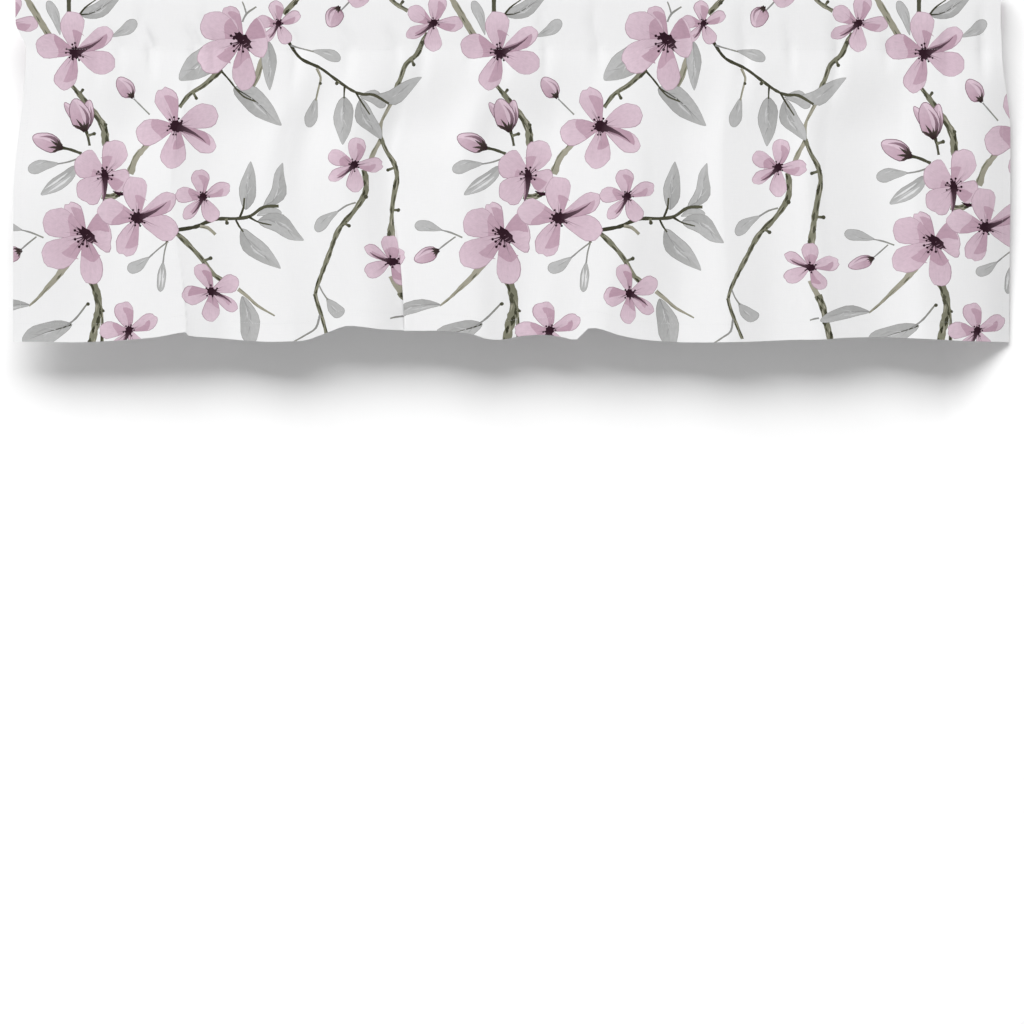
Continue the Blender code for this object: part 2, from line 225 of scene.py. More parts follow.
# The blossoms of one repeat of the print: across and down are the centre's place in chart steps, size
# scales the kind, turn turns it in degrees, and flip is -1 where it is drawn upside down
Blossom = namedtuple("Blossom", "name kind across down size turn flip", defaults=(1,))
BLOSSOMS = (
    Blossom("cluster_top", "cup", 105, 176, 1.0, 0),
    Blossom("cluster_side", "side", 86.5, 236, 1.0, 0),
    Blossom("cluster_open", "open", 138, 218, 1.03, 1),
    Blossom("upper_open", "open", 76, 53, 1.0, 0),
    Blossom("branch_open", "open", 177, 127, 1.04, 0, -1),
    Blossom("upper_small", "small", 279, 24.5, 0.82, 0),
    Blossom("upper_side", "side", 243, 42, 1.0, 5),
    Blossom("corner_small", "small", 433.5, 24.5, 1.03, 24),
    Blossom("fork_small", "small", 354.3, 165.7, 1.0, 20),
    Blossom("twig_small", "small", 203.3, 197, 1.0, 0),
    Blossom("lower_small", "small", 212, 291.6, 1.07, -92),
    Blossom("hem_small", "small", 129, 331, 1.08, -3),
    Blossom("hanging_small", "small", 388, 261.5, 0.95, 84),
    Blossom("crown_open", "open", 373, -27, 1.0, 8),
    Blossom("crown_small", "small", 152, -40, 1.05, 50),
    Blossom("crown_side", "side", 66, -64, 0.95, 12),
    Blossom("crown_far", "small", 262, -70, 1.0, -30),
)

# Buds, in chart steps: across and down are where the stalk ends, and tip is where the bud points
Bud = namedtuple("Bud", "name across down tip_across tip_down wide dark")
BUDS = (
    Bud("stalk_bud", 132.5, 97, 118.5, 78, 18, 0.4),
    Bud("low_bud", 61.5, 148, 33, 137, 19.5, 1.0),
    Bud("tall_bud_left", 83, 127, 65, 103, 11, 0.6),
    Bud("tall_bud_right", 86, 129, 90, 100, 14, 0.9),
    Bud("tall_bud", 85, 130, 75, 99, 22, 1.0),
    Bud("edge_bud", 444.5, 251, 422, 260, 17, 0.5),
    Bud("top_bud", 339, 9, 329.5, 28, 19, 0.5),
    Bud("crown_bud", 205, -58, 196, -80, 18, 0.6),
)

# Leaves, in chart steps from where each leaf starts to its tip. Its side edges bulge by bend, and look
# is how it is painted: plain, veined, ribbed with a dark midrib, or hollow with bare cloth inside.
Leaf = namedtuple("Leaf", "name across down tip_across tip_down wide point bend look")
LEAVES = (
    Leaf("oval_right", 112.5, 37.5, 137.5, 22, 13, 0.0, 0.05, "plain"),
    Leaf("oval_up", 61, 36, 49, 2, 11, 0.0, 0.04, "plain"),
    Leaf("top_ribbed", 80, 16, 123, -5, 18, 0.6, 0.08, "ribbed"),
    Leaf("broad_left", 214, 44, 180, 81, 31, 0.7, -0.10, "veined"),
    Leaf("broad_right", 234, 88, 282, 126, 25, 0.8, -0.04, "ribbed"),
    Leaf("behind_petal", 269, 42, 270, 91, 16, 0.8, 0.0, "veined"),
    Leaf("twig_oval", 312, 51.5, 341, 60, 12, 0.0, -0.04, "plain"),
    Leaf("hanging_oval", 316.5, 98, 308.5, 127.5, 13.5, 0.1, 0.0, "plain"),
    Leaf("hanging_point", 344.5, 97, 343, 145.5, 21.5, 0.8, 0.0, "veined"),
    Leaf("folded_upper", 360, 97, 386, 106, 16, 0.3, -0.15, "plain"),
    Leaf("folded_lower", 361, 99, 381.5, 139, 20, 0.7, 0.10, "veined"),
    Leaf("rising_right", 376, 97, 422, 77.5, 17, 0.8, 0.12, "plain"),
    Leaf("edge_oval", 447, 230.5, 418, 224.5, 12, 0.0, 0.03, "plain"),
    Leaf("left_oval", 60, 164, 28.5, 170.5, 13.5, 0.0, 0.04, "plain"),
    Leaf("left_hollow", 77, 166, 41.5, 195.5, 16, 0.6, -0.05, "hollow"),
    Leaf("spray_up", 246, 210, 251, 161.5, 18.5, 0.8, 0.0, "veined"),
    Leaf("spray_rising", 264, 207, 283, 163, 17, 0.8, 0.14, "veined"),
    Leaf("spray_shoulder", 257, 216, 282, 213, 10, 0.3, -0.10, "plain"),
    Leaf("spray_right", 258, 221, 304, 240.5, 21, 0.8, -0.10, "veined"),
    Leaf("spray_low", 241, 229, 281, 269, 21, 0.8, 0.06, "veined"),
    Leaf("under_oval", 150, 257, 128, 271, 13, 0.0, -0.04, "plain"),
    Leaf("under_narrow", 163.5, 262, 160.5, 292, 10.5, 0.3, 0.0, "hollow"),
    Leaf("low_oval", 326.5, 298, 342.5, 316, 15, 0.0, 0.05, "plain"),
    Leaf("branch_oval", 339, 211.5, 315.5, 231, 13, 0.0, 0.06, "plain"),
    Leaf("low_long", 242, 296, 251, 345, 23, 0.3, -0.06, "veined"),
    Leaf("hem_ribbed", 72, 324, 22, 341, 25, 0.35, 0.0, "ribbed"),
    Leaf("hem_right", 30, 305, -26, 319, 15, 0.4, 0.08, "veined"),
    Leaf("crown_left", 22, -40, -8, -62, 18, 0.7, 0.08, "veined"),
    Leaf("crown_middle", 182, -66, 226, -52, 20, 0.7, -0.08, "ribbed"),
    Leaf("crown_right", 306, -62, 340, -84, 19, 0.7, 0.08, "veined"),
)

# Branches, in chart steps: wide is the width at the start and at the end, and paint is pale, mossy with
# dark strokes, or dark. The points are where each one bends.
Branch = namedtuple("Branch", "name start end paint points")
BRANCHES = (
    Branch("top_left", 6.5, 6.0, "pale", ((12, -92), (9, -60), (16, -28), (27, -2), (40, 20), (52, 40))),
    Branch("top_stub", 4.5, 4.5, "dark", ((74, -52), (71, -22), (70, 0), (70, 15))),
    Branch("upper", 4.0, 8.0, "mossy", ((69, 82), (80, 95), (88, 105), (97, 116), (104, 128), (106, 146))),
    Branch("cluster_down", 8.0, 7.5, "mossy", ((88, 274), (94, 285), (98, 299), (98, 312), (91, 346))),
    Branch("cluster_down_side", 2.5, 3.5, "mossy", ((99, 300), (102, 314), (102, 346))),
    Branch("cluster_link", 7.0, 5.0, "mossy", ((102, 196), (111, 197), (122, 193))),
    Branch("low_left", 8.0, 1.8, "pale", ((68, 262), (58, 276), (47, 288), (38, 298), (29, 306))),
    Branch("to_upper_side", 4.0, 6.0, "mossy", ((180, 108), (190, 95), (204, 86), (213, 78), (221, 71))),
    Branch("behind_side", 6.0, 6.5, "pale", ((267, 50), (261, 66), (256, 80), (249, 92))),
    Branch("leafy_join", 5.0, 8.0, "pale", ((150, 142), (143, 150), (136, 158), (130, 174))),
    Branch("right_arch", 5.0, 5.0, "mossy",
        ((428, 34), (422, 44), (417, 55), (406, 65), (401, 78), (395, 92))),
    Branch("right_arch_thin", 3.5, 3.0, "pale", ((393, 100), (387, 111), (381, 124), (381, 140))),
    Branch("fork_stem", 4.0, 5.0, "pale", ((382, 137), (379, 143), (374, 152), (369, 164))),
    Branch("fork_down", 4.0, 6.5, "mossy",
        ((380, 134), (382, 141), (387, 152), (394, 163), (397, 176), (395, 190), (391, 214), (388,
        238))),
    Branch("long_fall", 6.0, 4.0, "mossy",
        ((364, 170), (366, 180), (365, 194), (354, 212), (339, 230), (329, 255), (318, 284), (315,
        296))),
    Branch("long_fall_end", 4.0, 3.5, "mossy", ((315, 294), (318, 305), (322, 317), (327, 336))),
    Branch("top_right", 4.0, 4.0, "mossy", ((376, -30), (389, -3), (396, 5), (408, 12))),
    Branch("top_middle", 6.0, 5.0, "mossy", ((330, -40), (312, -18), (298, 0), (284, 15))),
    Branch("to_lower_small", 5.0, 5.0, "mossy",
        ((174, 231), (186, 242), (201, 258), (212, 273), (225, 282))),
    Branch("lower_tail", 4.5, 1.5, "pale", ((238, 289), (248, 297), (258, 306), (275, 316))),
    Branch("under_hanging", 4.0, 7.0, "pale", ((388, 276), (394, 289), (398, 296))),
    Branch("under_hanging_end", 7.0, 6.5, "mossy", ((396, 292), (403, 310), (408, 346))),
    Branch("crown_link", 4.5, 4.0, "mossy", ((74, -52), (95, -46), (124, -48), (150, -42))),
    Branch("crown_right", 4.0, 5.0, "mossy", ((262, -72), (290, -60), (318, -46), (332, -38))),
)
STEMS = (
    Branch("petal_stem", 2.0, 1.4, "dark", ((222, 72), (230, 81), (237, 90), (244, 97), (256, 102))),
    Branch("right_stem", 3.2, 2.6, "dark",
        ((289, 43), (301, 59), (321, 69), (336, 80), (352, 91), (363, 95), (374, 95.5), (389, 104))),
    Branch("oval_stem", 2.0, 1.2, "grey", ((291, 46), (301, 49), (314, 52.5))),
    Branch("hanging_stem", 2.6, 1.6, "pale", ((317, 69), (321, 78), (320, 84), (318, 92), (316, 101))),
    Branch("point_stem", 2.2, 1.6, "dark", ((345, 86), (344.5, 92), (344.3, 99))),
    Branch("folded_stem", 2.2, 1.2, "dark", ((356, 93), (362, 103), (370, 115))),
    Branch("spray", 4.0, 3.0, "dark",
        ((174, 231), (196, 227), (207, 222), (218, 219), (239, 218.5), (251, 216), (264, 207.5), (279,
        206.5))),
    Branch("spray_twig", 3.0, 3.5, "pale", ((200, 226.5), (208, 228), (215.5, 234.5))),
    Branch("spray_up_stem", 2.4, 1.6, "dark", ((240, 217), (243.5, 208), (244.5, 198))),
    Branch("spray_right_stem", 2.4, 1.2, "dark", ((249, 217), (259, 222.5), (272, 225.5))),
    Branch("spray_low_stem", 2.4, 1.4, "dark", ((236, 220), (239, 226), (243.5, 232))),
    Branch("bud_stem", 1.4, 1.4, "grey", ((134, 99), (142, 107), (150, 115))),
    Branch("low_bud_stem", 3.0, 3.0, "dark", ((61, 148), (71, 150), (82, 154))),
    Branch("tall_bud_stem", 3.4, 2.6, "dark", ((85, 127), (88, 136), (90, 146))),
    Branch("edge_bud_stem", 1.6, 1.6, "grey", ((444, 251), (452, 244), (461, 237))),
    Branch("edge_oval_stem", 1.4, 1.8, "grey", ((445, 230), (456, 233), (468, 238))),
    Branch("left_oval_stem", 1.6, 1.8, "grey", ((58, 164.5), (70, 162), (83, 157))),
    Branch("under_oval_stem", 1.6, 1.4, "grey", ((149, 258), (158, 250), (167, 243))),
    Branch("under_narrow_stem", 1.6, 1.4, "grey", ((163.5, 263), (165, 252), (167.5, 243))),
    Branch("branch_oval_stem", 1.8, 1.6, "grey", ((338, 212), (347, 206), (356, 203))),
    Branch("low_oval_stem", 1.6, 1.6, "grey", ((319, 285), (323, 293), (328, 300))),
    Branch("hem_leaf_stem", 2.0, 2.0, "grey", ((66, 326), (76, 318), (87, 304))),
    Branch("hem_right_tip", 2.2, 1.4, "grey", ((397, 316), (392, 317), (388, 318.5))),
    Branch("top_bud_stem", 1.6, 1.6, "grey", ((341, 12), (348, 5), (357, -6))),
    Branch("rib_stem", 2.2, 1.2, "dark", ((79, 18), (86, 9), (97, 1))),
    Branch("fall_side", 2.0, 1.5, "grey", ((320, 315), (316, 328), (306, 335), (294, 342))),
    Branch("fork_twig", 2.2, 1.8, "grey", ((243, 23), (247, 15), (257, 8))),
    Branch("fork_twig_side", 1.8, 1.2, "grey", ((247, 15), (245, 8), (243, 3))),
    Branch("crown_bud_stem", 1.6, 1.6, "grey", ((205, -58), (196, -48), (180, -44), (160, -42))),
)
# Knobs on the branches, in chart steps, each with its radius
KNOBS = (
    (83.3, 90.5, 2.2), (106, 125, 2.4), (94.5, 134, 2.6), (88, 304, 2.6), (196.7, 98.8, 2.4),
    (337, 84, 2.6), (413.9, 65.3, 2.6), (403, 3, 2.4), (387.8, 169.8, 2.4), (400, 210, 2.8),
    (349.4, 226.3, 2.6), (366, 197, 3.0), (227, 223, 2.8), (210.6, 258.2, 2.8), (167.5, 241, 2.2),
    (320.6, 84, 2.2), (422, 43, 2.4), (221, 71.5, 3.2), (103.5, 311, 1.8), (318, -22, 2.6),
)

# Where the print lies off its even repeat, in chart steps: round each place and as far as it reaches
# across and down, the print is moved to the right by aside and down by lower
Drift = namedtuple("Drift", "across down reach_across reach_down aside lower")
DRIFTS = (
    Drift(512, 322, 42, 55, -9, 0),
    Drift(515, 235, 60, 45, -5.5, 0),
    Drift(650, 310, 45, 45, -8, 3),
    Drift(750, 300, 42, 65, -12, 4),
    Drift(805, 235, 65, 60, -2, 6),
    Drift(860, 240, 35, 30, 6, 3),
    Drift(872, 310, 40, 25, -8, 6),
    Drift(965, 180, 120, 80, 0, 12),
)

# Which repeats of the print reach the cloth, what sets the streaks of its patches apart, and the range
# of the phases of a wavy edge
REPEATS = range(-2, 4)
SEED_STEP = 0.37
ANY_PHASE = 6.28
# How many points go round a petal or leaf and round a bud, and how wide their edge lines are, in steps
BROAD_POINTS, ROUND_POINTS = 22, 18
PETAL_EDGE, BUD_EDGE, LEAF_EDGE = 0.55, 0.8, 0.6
# How blunt a petal's tip and sides are, how wide its root is and how it widens from there
TIP_BLUNTNESS, SIDE_BLUNTNESS = 0.86, 0.92
ROOT_WIDTH, WIDTH_GROWTH = 0.34, 1.10
DENT_DEPTHS = (0.0, 0.03, 0.055)
PETAL_STREAKS = 2
LEAF_VEINS = 4
FLIPPED_LOBES = {"left": "right", "right": "left"}
SMALL_EYE = 0.66
# The dark crease of a folded petal, in steps from the blossom's middle: its turn in each kind of blossom,
# its line and the wash round it, and the fold inside a blossom seen from below
CREASE_TURNS = {"open": -24, "small": 118, "cup": 92}
CREASE = ((0, 0), (9, 1.0), (18, 0.8), (27, -0.8), (32, -2.6))
CREASE_WASH = ((0, -3.4), (11, -2.6), (24, -1.4), (25, -0.2), (12, 1.8), (0, 3.0))
CUP_FOLD = ((8, 15), (14, 18), (20, 17), (23, 11))
# The stamens of a blossom seen from the side, as the way each points and its length
SIDE_STAMENS = ((203, 14), (190, 10), (165, 13), (146, 11), (124, 14.5), (110, 10), (84, 11.5))

# The strokes along the branches of each paint: how far their ink goes from the darkest to the twig's own,
# how wide they are for the branch's width, how often pale moss lies beside one, and how many points of
# the branch's line lie between the starts of two of them
Bark = namedtuple("Bark", "fade wide moss skip")
BARK = {
    "pale": Bark((0.5, 0.9), (0.22, 0.36), 0.0, (3, 5)),
    "mossy": Bark((0.0, 0.3), (0.40, 0.70), 0.5, (1, 3)),
}
BRANCH_SPACING = 4.0

# The rings of points round a stitch: the share of its length, and the height over the cloth and the
# half width, both in radii of the thread
Ring = namedtuple("Ring", "share lift wide")
STITCH_RINGS = (
    Ring(0.0, -0.9, 0.55), Ring(0.18, 0.35, 0.95), Ring(0.82, 0.35, 0.95), Ring(1.0, -0.9, 0.55),
)
THREAD_SIDES = 6
# Where the rows of stitches run, as shares of the hems, and how finely their lines are surveyed. The
# seam lies this many chart steps above the stitch line.
END_MARGIN = 0.004
HEM_PLACE, SIDE_PLACE = 0.9, 0.82
SIDE_START, SIDE_END = 0.012, 1.05
ROW_SURVEY, SIDE_SURVEY = 900, 300
SEAM_RISE = 0.2

# A chart step in millimetres, the part of the map for baked pictures that each side of the cloth fills,
# the corners there of the strip between them, and the share from which a face counts as turned hem
MILLIMETRES = STEP * 1000
HALF_MAP = 0.485
RIM_CORNERS = ((0, 0.004), (0.001, 0.004), (0.001, -0.004))
WHOLLY_TURNED = 0.99

# The weave's relief beside its slubs, the stretch of the slubs along the two threads, the size of the
# ink's pools and brush streaks, and the turns of the sewing thread
WEAVE_RELIEF = 0.35
SLUBS = ((1500.0, 60.0, 1.0), (60.0, 1500.0, 1.0))
POOL_SCALE = 190.0
STREAK_SCALE = (0.9, 0.14, 1.0)
TWIST_SCALE = (2600.0, 1600.0, 1.0)

# The paper sweep behind and under the cloth, in metres, with the columns of its bow and of its edges
SWEEP_TOP, SWEEP_MIDDLE, SWEEP_FLOOR = 1.6, 0.5, -2.2
SWEEP_BEND, SWEEP_FRONT, SWEEP_HALF = 0.5, -1.5, 2.0
SWEEP_STEPS = 13
BOW_COLUMNS, BOW_EDGE = 25, 0.05
# The whole picture is this many chart steps wide and high, and its middle is the chart's middle
PICTURE = 1024
CLIP_END = 40


def paint(red, green, blue, white=246):
    """A printed colour as the share of light that it leaves of white cloth, from display values."""

    def light(value):
        share = value / 255
        return ((share + 0.055) / 1.055) ** 2.4 if share > 0.04045 else share / 12.92

    return tuple(min(1.0, light(value) / light(white)) for value in (red, green, blue))


def colour_property(name, description, *display, default=None):
    return FloatVectorProperty(
        name=name, description=description, subtype="COLOR", size=3, min=0.0, max=1.0,
        default=default or paint(*display),
    )


def length_property(name, description, value):
    return FloatProperty(
        name=name, description=description, default=value, min=0.0, unit="LENGTH", precision=5
    )


def angle_property(name, description, degrees):
    return FloatProperty(
        name=name, description=description, default=math.radians(degrees), subtype="ANGLE"
    )


class ValanceSizes(bpy.types.PropertyGroup):
    """Sizes of the cloth and its sewing."""

    flat_width: length_property("Flat width", "Width of the hemmed cloth before it is gathered", 1.372)
    drop: length_property("Drop", "Height from the top of the pocket to the lowest point of the hem", 0.457)
    pocket_drop: length_property("Pocket drop", "Height from the top down to the stitch line", 0.080)
    sleeve_radius: length_property(
        "Sleeve radius", "Outer radius of the cloth where it goes over the rod", 0.0155
    )
    cloth_thickness: length_property("Cloth thickness", "Thickness of the single cloth", 0.0006)
    hem_thickness: length_property("Hem thickness", "Thickness of the turned hems", 0.0015)
    bottom_hem: length_property("Bottom hem", "Height of the turned bottom hem", 0.026)
    side_hem: length_property("Side hem", "Width of the turned side hems", 0.012)
    stitch_length: length_property("Stitch length", "Length of one stitch that shows", 0.0023)
    stitch_gap: length_property("Stitch gap", "Cloth between two stitches", 0.0012)
    thread_diameter: length_property("Thread diameter", "Diameter of the sewing thread", 0.0002)
    thread_pitch: length_property("Weave pitch", "Distance between two threads of the weave", 0.00045)


class PrintInks(bpy.types.PropertyGroup):
    """Colours of the cloth and of the inks printed on it."""

    cloth: colour_property("Cloth", "Colour of the unprinted cloth", default=(0.81, 0.81, 0.815))
    petal_pale: colour_property("Pale petal", "Ink at the petals' tips", 226, 203, 215)
    petal_mid: colour_property("Petal", "Ink over most of a petal", 210, 185, 198)
    petal_deep: colour_property("Petal shade", "Ink of the shaded lobes", 190, 157, 173)
    petal_line: colour_property("Petal line", "Fine lines along the petals' edges", 158, 126, 141)
    plum: colour_property("Plum", "Dark ink at the middle of a blossom", 42, 12, 28)
    leaf_pale: colour_property("Pale leaf", "Ink at the leaves' tips", 194, 194, 194)
    leaf_mid: colour_property("Leaf", "Ink over most of a leaf", 184, 184, 183)
    leaf_line: colour_property("Leaf line", "Veins and edges of the leaves", 150, 150, 149)
    twig_pale: colour_property("Pale twig", "Ink of the pale branches", 170, 166, 150)
    twig_mid: colour_property("Twig", "Ink of the mossy branches", 130, 130, 110)
    twig_dark: colour_property("Dark twig", "Ink of the dark strokes on the branches", 52, 52, 35)
    reverse_share: FloatProperty(
        name="Reverse share", description="How much of the print shows on the wrong side", default=0.26,
        min=0.0, max=1.0, subtype="FACTOR",
    )


class StudioSetup(bpy.types.PropertyGroup):
    """Wall, light and camera of the studio."""

    wall_gap: length_property("Wall gap", "Distance from the middle of the rod to the wall behind", 0.062)
    side_gap: length_property("Gap at the right", "The same behind the cloth's right end", 0.018)
    camera_distance: length_property("Camera distance", "Distance from the camera to the cloth", 6.0)
    key_power: FloatProperty(
        name="Key light", description="Power of the large soft light, in watts", default=645.0
    )
    key_distance: length_property("Key light distance", "Distance from the cloth to the soft light", 7.0)
    key_wide: angle_property("Key light width", "Angle that the soft light fills from side to side", 54)
    key_tall: angle_property("Key light tallness", "Angle that it fills from top to bottom", 32)
    key_height: angle_property("Key light height", "Angle of the light above the horizon", 44)
    key_side: angle_property("Key light side", "Angle of the light to the left of the view", 17)
    sky: FloatProperty(
        name="Room light", description="Strength of the even light from the room", default=0.315
    )


def smoothstep(value):
    value = np.clip(value, 0.0, 1.0)
    return value * value * (3.0 - 2.0 * value)


class HungCloth:
    """Where each place of the print's chart hangs in space, and how thick the cloth is there."""

    def __init__(self, sizes):
        self.sizes = sizes
        self.width = sizes.flat_width
        self.panel_length = sizes.drop - sizes.pocket_drop
        self.wall_height = sizes.pocket_drop - sizes.sleeve_radius
        self.crown_length = math.pi * sizes.sleeve_radius
        self.back_slope = math.hypot(self.wall_height, sizes.sleeve_radius + SEAM_FORWARD - POCKET_FOOT)
        self.around = self.wall_height + self.crown_length + self.back_slope + FLAP_END
        self.stitch_row = sizes.pocket_drop / STEP + TOP_ROW
        self.first_row = self.stitch_row - self.around / STEP
        across, lean, back, middle, lift, tuck = np.array([fold[1:] for fold in FOLDS]).T
        steps = np.hypot(np.diff(across), np.diff(back))
        self.stations = np.concatenate(([0.0], np.cumsum(steps))) * self.width / steps.sum()
        self.tables = {
            "hem_across": across,
            "middle_across": across + lean,
            "hem_print": across + tuck,
            "middle_print": across + lean,
            "hem_back": back,
            "middle_back": middle,
            "lift": lift,
        }

    def table_value(self, name, flat):
        """A column of the fold table as a smooth function of the place across the flat cloth."""
        values, stations = self.tables[name], self.stations
        last = len(stations) - 1
        index = np.clip(np.searchsorted(stations, flat, side="right") - 1, 0, last - 1)
        before, after = np.maximum(np.arange(last + 1) - 1, 0), np.minimum(np.arange(last + 1) + 1, last)
        slopes = (values[after] - values[before]) / (stations[after] - stations[before])
        length = stations[index + 1] - stations[index]
        share = (flat - stations[index]) / length
        square, cube = share**2, share**3
        return (
            values[index] * (2 * cube - 3 * square + 1)
            + slopes[index] * length * (cube - 2 * square + share)
            + values[index + 1] * (3 * square - 2 * cube)
            + slopes[index + 1] * length * (cube - square)
        )

    def along(self, flat, left, right):
        return left + (right - left) * flat / self.width

    def folded(self, what, flat, share):
        """A measure of the folds at a share of the panel's length, between half length and the hem."""
        lower = smoothstep((share - MIDDLE) / (1.0 - MIDDLE))
        middle, hem = self.table_value("middle_" + what, flat), self.table_value("hem_" + what, flat)
        return (1 - lower) * middle + lower * hem

    def panel_across(self, flat, share, what):
        """How far across a place of the panel hangs, or its print is charted, by its share of the drop."""
        spread = smoothstep(share / self.along(flat, LEFT_SPREAD, RIGHT_SPREAD))
        stitched = self.along(flat, STITCH_LEFT, STITCH_RIGHT)
        return stitched + (self.folded(what, flat, share) - stitched) * spread

    def panel_share(self, flat, below):
        """The share of the panel's length above a place, by its height below the stitch line."""
        lift = self.table_value("lift", flat)
        return 2 * below / (self.panel_length + np.sqrt(self.panel_length**2 - 4 * lift * below))

    def panel_chart(self, flat, share):
        """The chart column and row of a place on the panel."""
        flat, share = np.broadcast_arrays(np.asarray(flat, float), np.asarray(share, float))
        below = (self.panel_length - self.table_value("lift", flat) * share) * share
        column = self.panel_across(flat, share, "print") / STEP + MIDDLE_COLUMN
        return column, self.stitch_row + below / STEP

    def pocket_edges(self, above):
        """The left and right ends of the pocket at a height above the stitch line."""
        spread = smoothstep(above / self.sizes.pocket_drop / POCKET_SPREAD)
        left = STITCH_LEFT + (ROD_LEFT - STITCH_LEFT) * spread
        return left, STITCH_RIGHT + (ROD_RIGHT - STITCH_RIGHT) * spread

    def pucker_depth(self, flat, above):
        across = self.along(flat, STITCH_LEFT, STITCH_RIGHT)
        depth = np.zeros_like(across)
        for pucker in PUCKERS:
            aside = (across - pucker.across) / pucker.wide
            reach = np.where(above > 0, above / pucker.up, -above / pucker.down)
            depth += pucker.deep * np.exp(-2.0 * aside**2) * (1 - smoothstep(reach))
        return depth

    def pocket_section(self, travelled):
        """Drop, depth and side of the pocket by the way travelled up from the stitch line in front."""
        radius, height = self.sizes.sleeve_radius, self.wall_height
        on_front = travelled < height
        on_crown = ~on_front & (travelled < height + self.crown_length)
        angle = np.clip((travelled - height) / radius, 0, math.pi)
        fallen = (travelled - height - self.crown_length) * height / self.back_slope
        drop = np.where(on_front, self.sizes.pocket_drop - travelled, radius - radius * np.sin(angle))
        drop = np.where(on_front | on_crown, drop, radius + fallen)
        front = -SEAM_FORWARD - (radius - SEAM_FORWARD) * travelled.clip(0, height) / height
        back = radius + (POCKET_FOOT - SEAM_FORWARD - radius) * fallen / height
        depth = np.where(on_front, front, np.where(on_crown, -radius * np.cos(angle), back))
        return drop, depth, np.where(on_front | (angle < math.pi / 2), -1, 1)

    def flat_places(self, column, row):
        """The place across the flat cloth of each place of the chart."""
        across = (column - MIDDLE_COLUMN) * STEP
        travelled = np.maximum(self.stitch_row - row, 0) * STEP
        left, right = self.pocket_edges(self.sizes.pocket_drop - self.pocket_section(travelled)[0])
        flat = np.clip((across - left) / (right - left), 0, 1) * self.width
        hangs = row > self.stitch_row
        below = (row[hangs] - self.stitch_row) * STEP
        low, high = np.zeros(len(below)), np.full(len(below), self.width)
        for _ in range(SEARCH_ROUNDS):
            tried = (low + high) / 2
            left_of = self.panel_across(tried, self.panel_share(tried, below), "print") < across[hangs]
            low, high = np.where(left_of, tried, low), np.where(left_of, high, tried)
        flat[hangs] = (low + high) / 2
        return flat

    def points(self, column, row):
        """The printed face of the cloth at each place of the chart, as rows of three numbers."""
        flat = self.flat_places(column, row)
        hangs = row > self.stitch_row
        below = np.maximum(row - self.stitch_row, 0) * STEP
        share = self.panel_share(flat, below)
        opened = smoothstep(share / FOLD_OPENING)
        drop, depth, side = self.pocket_section(np.maximum(self.stitch_row - row, 0) * STEP)
        above = np.where(hangs, -below, self.sizes.pocket_drop - drop)
        pucker = self.pucker_depth(flat, above)
        joined = smoothstep(1 - above / JOINED_HEIGHT)
        pucker = np.where(~hangs & (side > 0), pucker * (joined - (1 - joined) * BACK_PUCKERS), pucker)
        left, right = self.pocket_edges(above)
        across = np.where(
            hangs, self.panel_across(flat, share, "across"), left + (right - left) * flat / self.width
        )
        hung = (self.folded("back", flat, share) - CREST_FORWARD + SEAM_FORWARD) * opened - SEAM_FORWARD
        height = np.where(hangs, -self.sizes.pocket_drop - below, -drop)
        return np.stack((across, np.where(hangs, hung, depth) + pucker, height), axis=1)

    def normals(self, column, row, reach=0.4):
        """Unit normals of the printed face, pointing away from the cloth."""
        sideways = self.points(column + reach, row) - self.points(column - reach, row)
        downwards = self.points(column, row + reach) - self.points(column, row - reach)
        return unit(np.cross(downwards, sideways))

    def thickness(self, column, row):
        """Thickness of the cloth at each place, and whether it lies in a turned hem."""
        flat = self.flat_places(column, row)
        share = self.panel_share(flat, np.maximum(row - self.stitch_row, 0) * STEP)
        from_edges = np.array(((1 - share) * self.panel_length, np.minimum(flat, self.width - flat)))
        hems = np.array(((self.sizes.bottom_hem,), (self.sizes.side_hem,)))
        turned = np.clip((hems + HEM_STEP - from_edges) / HEM_STEP, 0, 1).max(axis=0)
        single = self.sizes.cloth_thickness
        return single + (self.sizes.hem_thickness - single) * turned, turned

    def flat_columns(self):
        """Places across the flat cloth for the mesh's columns, the folds themselves among them."""
        found = [0.0]
        for start, end in zip(self.stations, self.stations[1:]):
            survey = np.linspace(start, end, SURVEY_POINTS)
            ways = np.diff([self.table_value(name, survey) for name in ("hem_across", "hem_back")])
            turns = np.abs(np.diff(np.unwrap(np.arctan2(ways[1], ways[0])))).sum()
            count = max(1, math.ceil((end - start) / COLUMN_STEP + turns / COLUMN_TURN))
            found += list(np.linspace(start, end, count + 1)[1:])
        sewn = (self.sizes.side_hem, self.sizes.side_hem + HEM_STEP)
        found += [*sewn, *(self.width - place for place in sewn)]
        return np.array(sorted(found))

